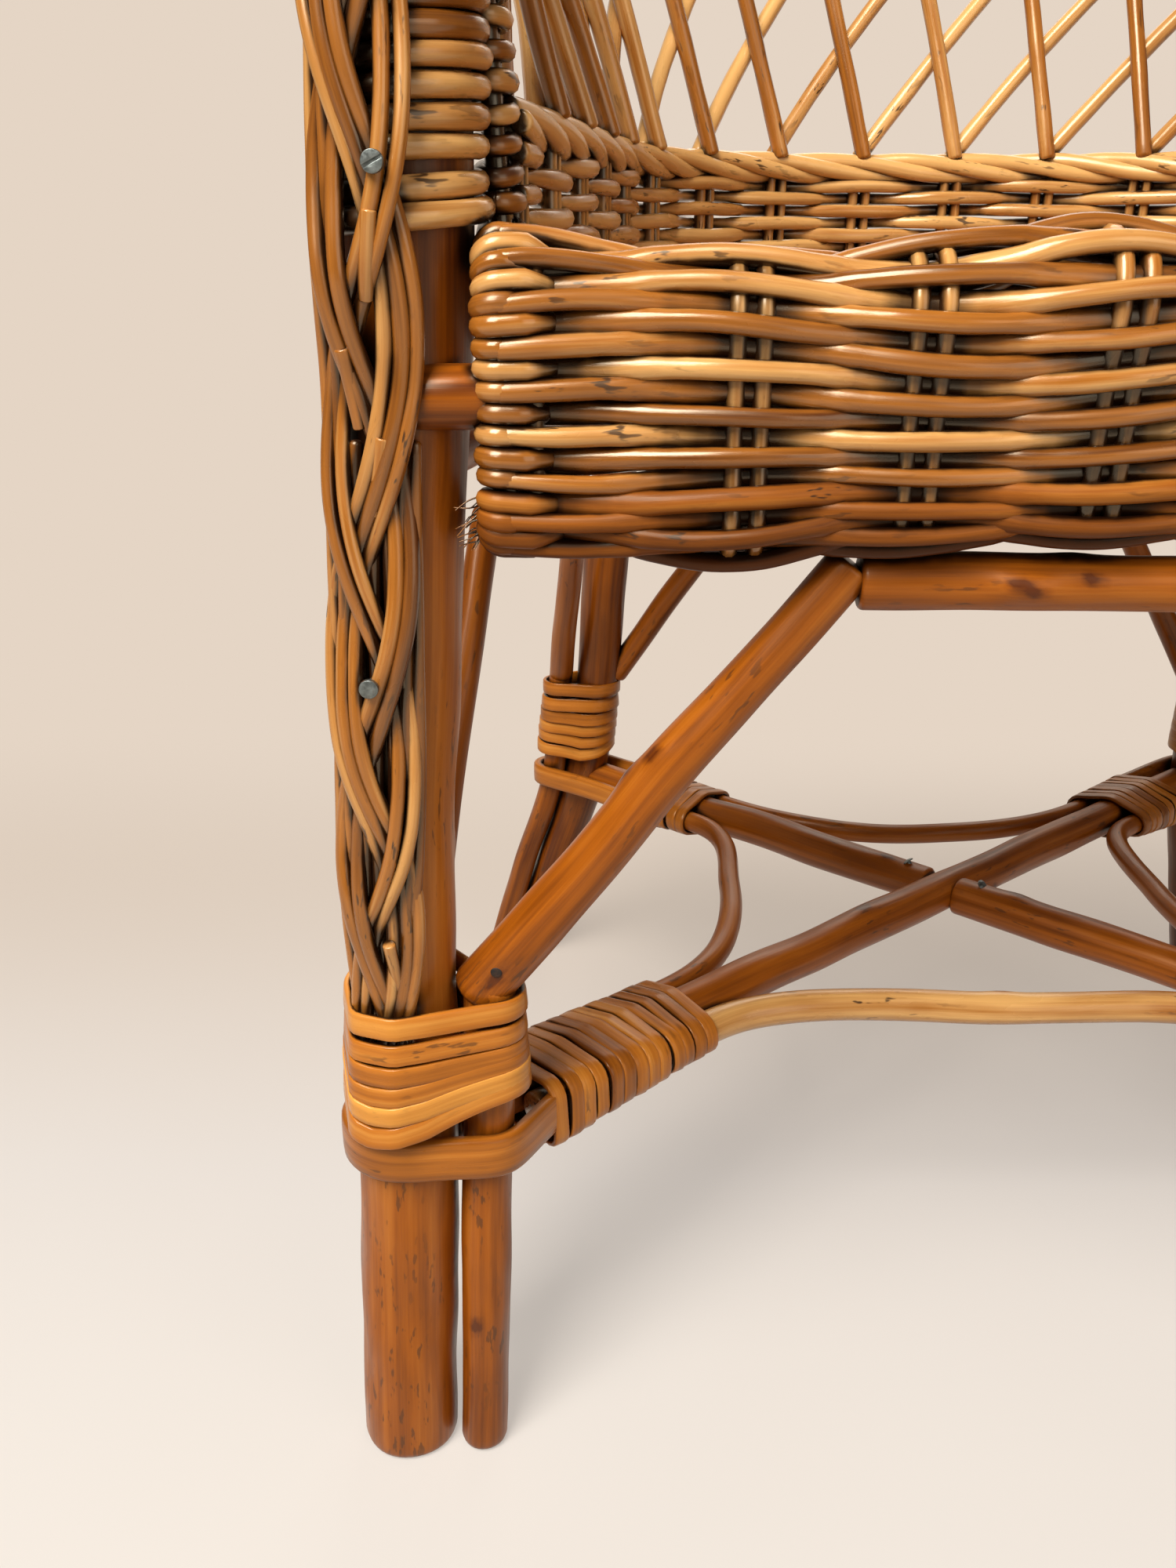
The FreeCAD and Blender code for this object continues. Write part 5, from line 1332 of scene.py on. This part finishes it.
plait_heads = Bundle(480)
for side, (height, reach, aside, scratched) in itertools.product(SIGNS, NAIL_SEATS):
    nail_seat = front_leg_at(side, height) + np.array((side * aside, -reach, 0))
    for rear, fore, radius in ((9.0, 0.0, NAIL_SHANK), (0.5, -0.45, NAIL_HEAD)):
        run = nail_seat + BACK * np.linspace(rear, fore, 5)[:, None]
        plait_heads.rod(run, radius, 28, edges=(0.2, 0.2), rough=0.0)
    scratch_out = np.array((math.sin(SCRATCH_LEAN) * side, 0.0, math.cos(SCRATCH_LEAN)))
    for half in SIGNS if scratched else ():
        middle = nail_seat + scratch_out * (half * 0.5 * NAIL_HEAD)
        run = middle + BACK * np.linspace(-0.45, -0.8, 4)[:, None]
        outward = np.tile(scratch_out * half, (4, 1))
        plait_heads.sweep(run, half_disc(), NAIL_HEAD, outward=outward, edges=(0.05, 0.2))
plait_heads.piece("plait_nails.heads", steel_finish, "plait_nails")

# Crevices: how closed in each point of the surface is; the finishes paint pooled varnish and shade there

CELL = 1.5
BLUR = 2
GRID_MARGIN = 9.0
FEELER = 2.2


def crevice_field():
    """Share of filled space round each cell of a grid over the chair, and the grid's low corner."""
    filled = np.concatenate(FILLING)
    low = filled.min(axis=0) - GRID_MARGIN
    shape = np.ceil((filled.max(axis=0) + GRID_MARGIN - low) / CELL).astype(int)
    field = np.zeros(shape, np.float32)
    field[tuple(((filled - low) / CELL).astype(int).T)] = 1.0
    for axis in range(3):
        run = np.cumsum(field, axis=axis, dtype=np.float32)
        field = (np.roll(run, -BLUR, axis=axis) - np.roll(run, BLUR + 1, axis=axis)) / (2 * BLUR + 1)
    return field, low


def look_up(field, low, places):
    """Value of a grid between its cells."""
    spot = (places - low) / CELL - 0.5
    base = np.clip(np.floor(spot).astype(int), 0, np.array(field.shape) - 2)
    part = np.clip(spot - base, 0, 1)
    total = np.zeros(len(places))
    for corner in itertools.product((0, 1), repeat=3):
        weight = np.prod(np.abs(1 - np.array(corner) - part), axis=1)
        total += weight * field[tuple((base + corner).T)]
    return total


field, field_low = crevice_field()
for item in PIECES:
    mesh = item.data
    places, normals = np.empty((2, len(mesh.vertices) * 3), np.float32)
    mesh.vertices.foreach_get("co", places)
    mesh.vertices.foreach_get("normal", normals)
    feelers = places.reshape(-1, 3) / MM + normals.reshape(-1, 3) * FEELER
    closed = np.clip((look_up(field, field_low, feelers) - 0.2) / 0.45, 0, 1)
    mark = mesh.attributes.new("crevice", "FLOAT", "POINT")
    mark.data.foreach_set("value", closed.astype(np.float32))

# Floor, light and camera

CREAM = (0.9, 0.83, 0.755)
OATMEAL = (0.86, 0.79, 0.725)
BEIGE = (0.783, 0.665, 0.558)
BOUNCE_BROWN = (0.3, 0.25, 0.2)
BLACK = (0.0, 0.0, 0.0)
NEAR_GLOW = 0.5
DIMMING = 0.26
FLOOR_HALF = 3.0
CHAIR_HEART = (0.0, 0.0, 0.25)
LAMP_WHITE = (1.0, 0.98, 0.95)


def studio_paper():
    """Pale paper that fades from cream to beige and glows a little, so that shadows stay soft."""
    finish = Finish("pale_paper")
    place = finish.place()
    depth = finish.node("ShaderNodeSeparateXYZ", {"Vector": place}).outputs["Y"]
    fade = finish.between(depth, -0.2, 0.24)
    paper = finish.ramp(fade, ((0.0, CREAM), (0.35, OATMEAL), (1.0, BEIGE)))
    mottle = finish.between(finish.noise(place, (9, 9, 9), 2.0), 0.3, 0.7, 0.0, 0.03)
    paper = finish.mixed(mottle, paper, BEIGE)
    rays = finish.node("ShaderNodeLightPath", {}).outputs
    seen = finish.math("MAXIMUM", rays["Is Camera Ray"], rays["Is Glossy Ray"])
    seen = finish.math("MAXIMUM", seen, rays["Is Transmission Ray"])
    colour = finish.mixed(seen, BOUNCE_BROWN, finish.mixed(DIMMING, paper, BLACK))
    finish.feed(finish.shader, {"Base Color": colour, "Roughness": 0.9, "Specular IOR Level": 0.1})
    glow = finish.node("ShaderNodeEmission", {"Color": paper})
    far = finish.between(depth, 0.1, 0.42, NEAR_GLOW, 1.0)
    glowing = finish.math("MULTIPLY", seen, far)
    blend = finish.node("ShaderNodeMixShader", {
        0: glowing, 1: finish.shader.outputs["BSDF"], 2: glow.outputs["Emission"]})
    finish.feed(finish.tree.nodes["Material Output"], {"Surface": blend.outputs["Shader"]})
    return finish.material


def studio_floor():
    """Flat floor with a wall that rises behind the chair."""
    half = FLOOR_HALF
    floor_corners = [(-half, -half, 0), (half, -half, 0), (half, half, 0), (-half, half, 0)]
    wall_corners = [(half, half, half), (-half, half, half)]
    mesh = bpy.data.meshes.new("studio_floor")
    mesh.from_pydata(floor_corners + wall_corners, [], ((0, 1, 2, 3), (3, 2, 4, 5)))
    mesh.materials.append(studio_paper())
    floor = bpy.data.objects.new("studio_floor", mesh)
    bpy.context.scene.collection.objects.link(floor)


def softbox(name, place, size, power):
    """Rectangular area lamp at a place, turned to the chair's heart."""
    lamp = bpy.data.lights.new(name, "AREA")
    lamp.shape = "RECTANGLE"
    lamp.size, lamp.size_y = size
    lamp.energy = power
    lamp.color = LAMP_WHITE
    item = bpy.data.objects.new(name, lamp)
    item.location = place
    away = np.array(CHAIR_HEART) - np.array(place)
    flat = math.hypot(away[0], away[1])
    item.rotation_euler = (math.atan2(flat, -away[2]), 0, math.atan2(-away[0], away[1]))
    bpy.context.scene.collection.objects.link(item)


studio_floor()
softbox("key_softbox", (-0.55, -0.95, 1.45), (0.7, 1.0), 43.0)
softbox("fill_softbox", (1.1, -1.4, 0.8), (1.2, 1.2), 7.0)
softbox("back_softbox", (0.3, 1.6, 1.6), (1.2, 1.2), 9.0)
world = bpy.data.worlds.new("studio_air")
world.use_nodes = True
air = world.node_tree.nodes["Background"]
air.inputs["Color"].default_value = (1.0, 0.97, 0.93, 1)
air.inputs["Strength"].default_value = 0.11
bpy.context.scene.world = world

lens = bpy.data.cameras.new("photo_camera")
lens.sensor_fit = "VERTICAL"
lens.sensor_height = 36.0
lens.lens = 30.6
lens.clip_start = 0.01
camera = bpy.data.objects.new("photo_camera", lens)
camera.location = (-0.112, -0.4027, 0.3045)
camera.rotation_euler = (math.radians(90 - 22.5), 0, math.radians(1.25))
bpy.context.scene.collection.objects.link(camera)
bpy.context.scene.camera = camera
bpy.context.scene.view_settings.view_transform = "Standard"
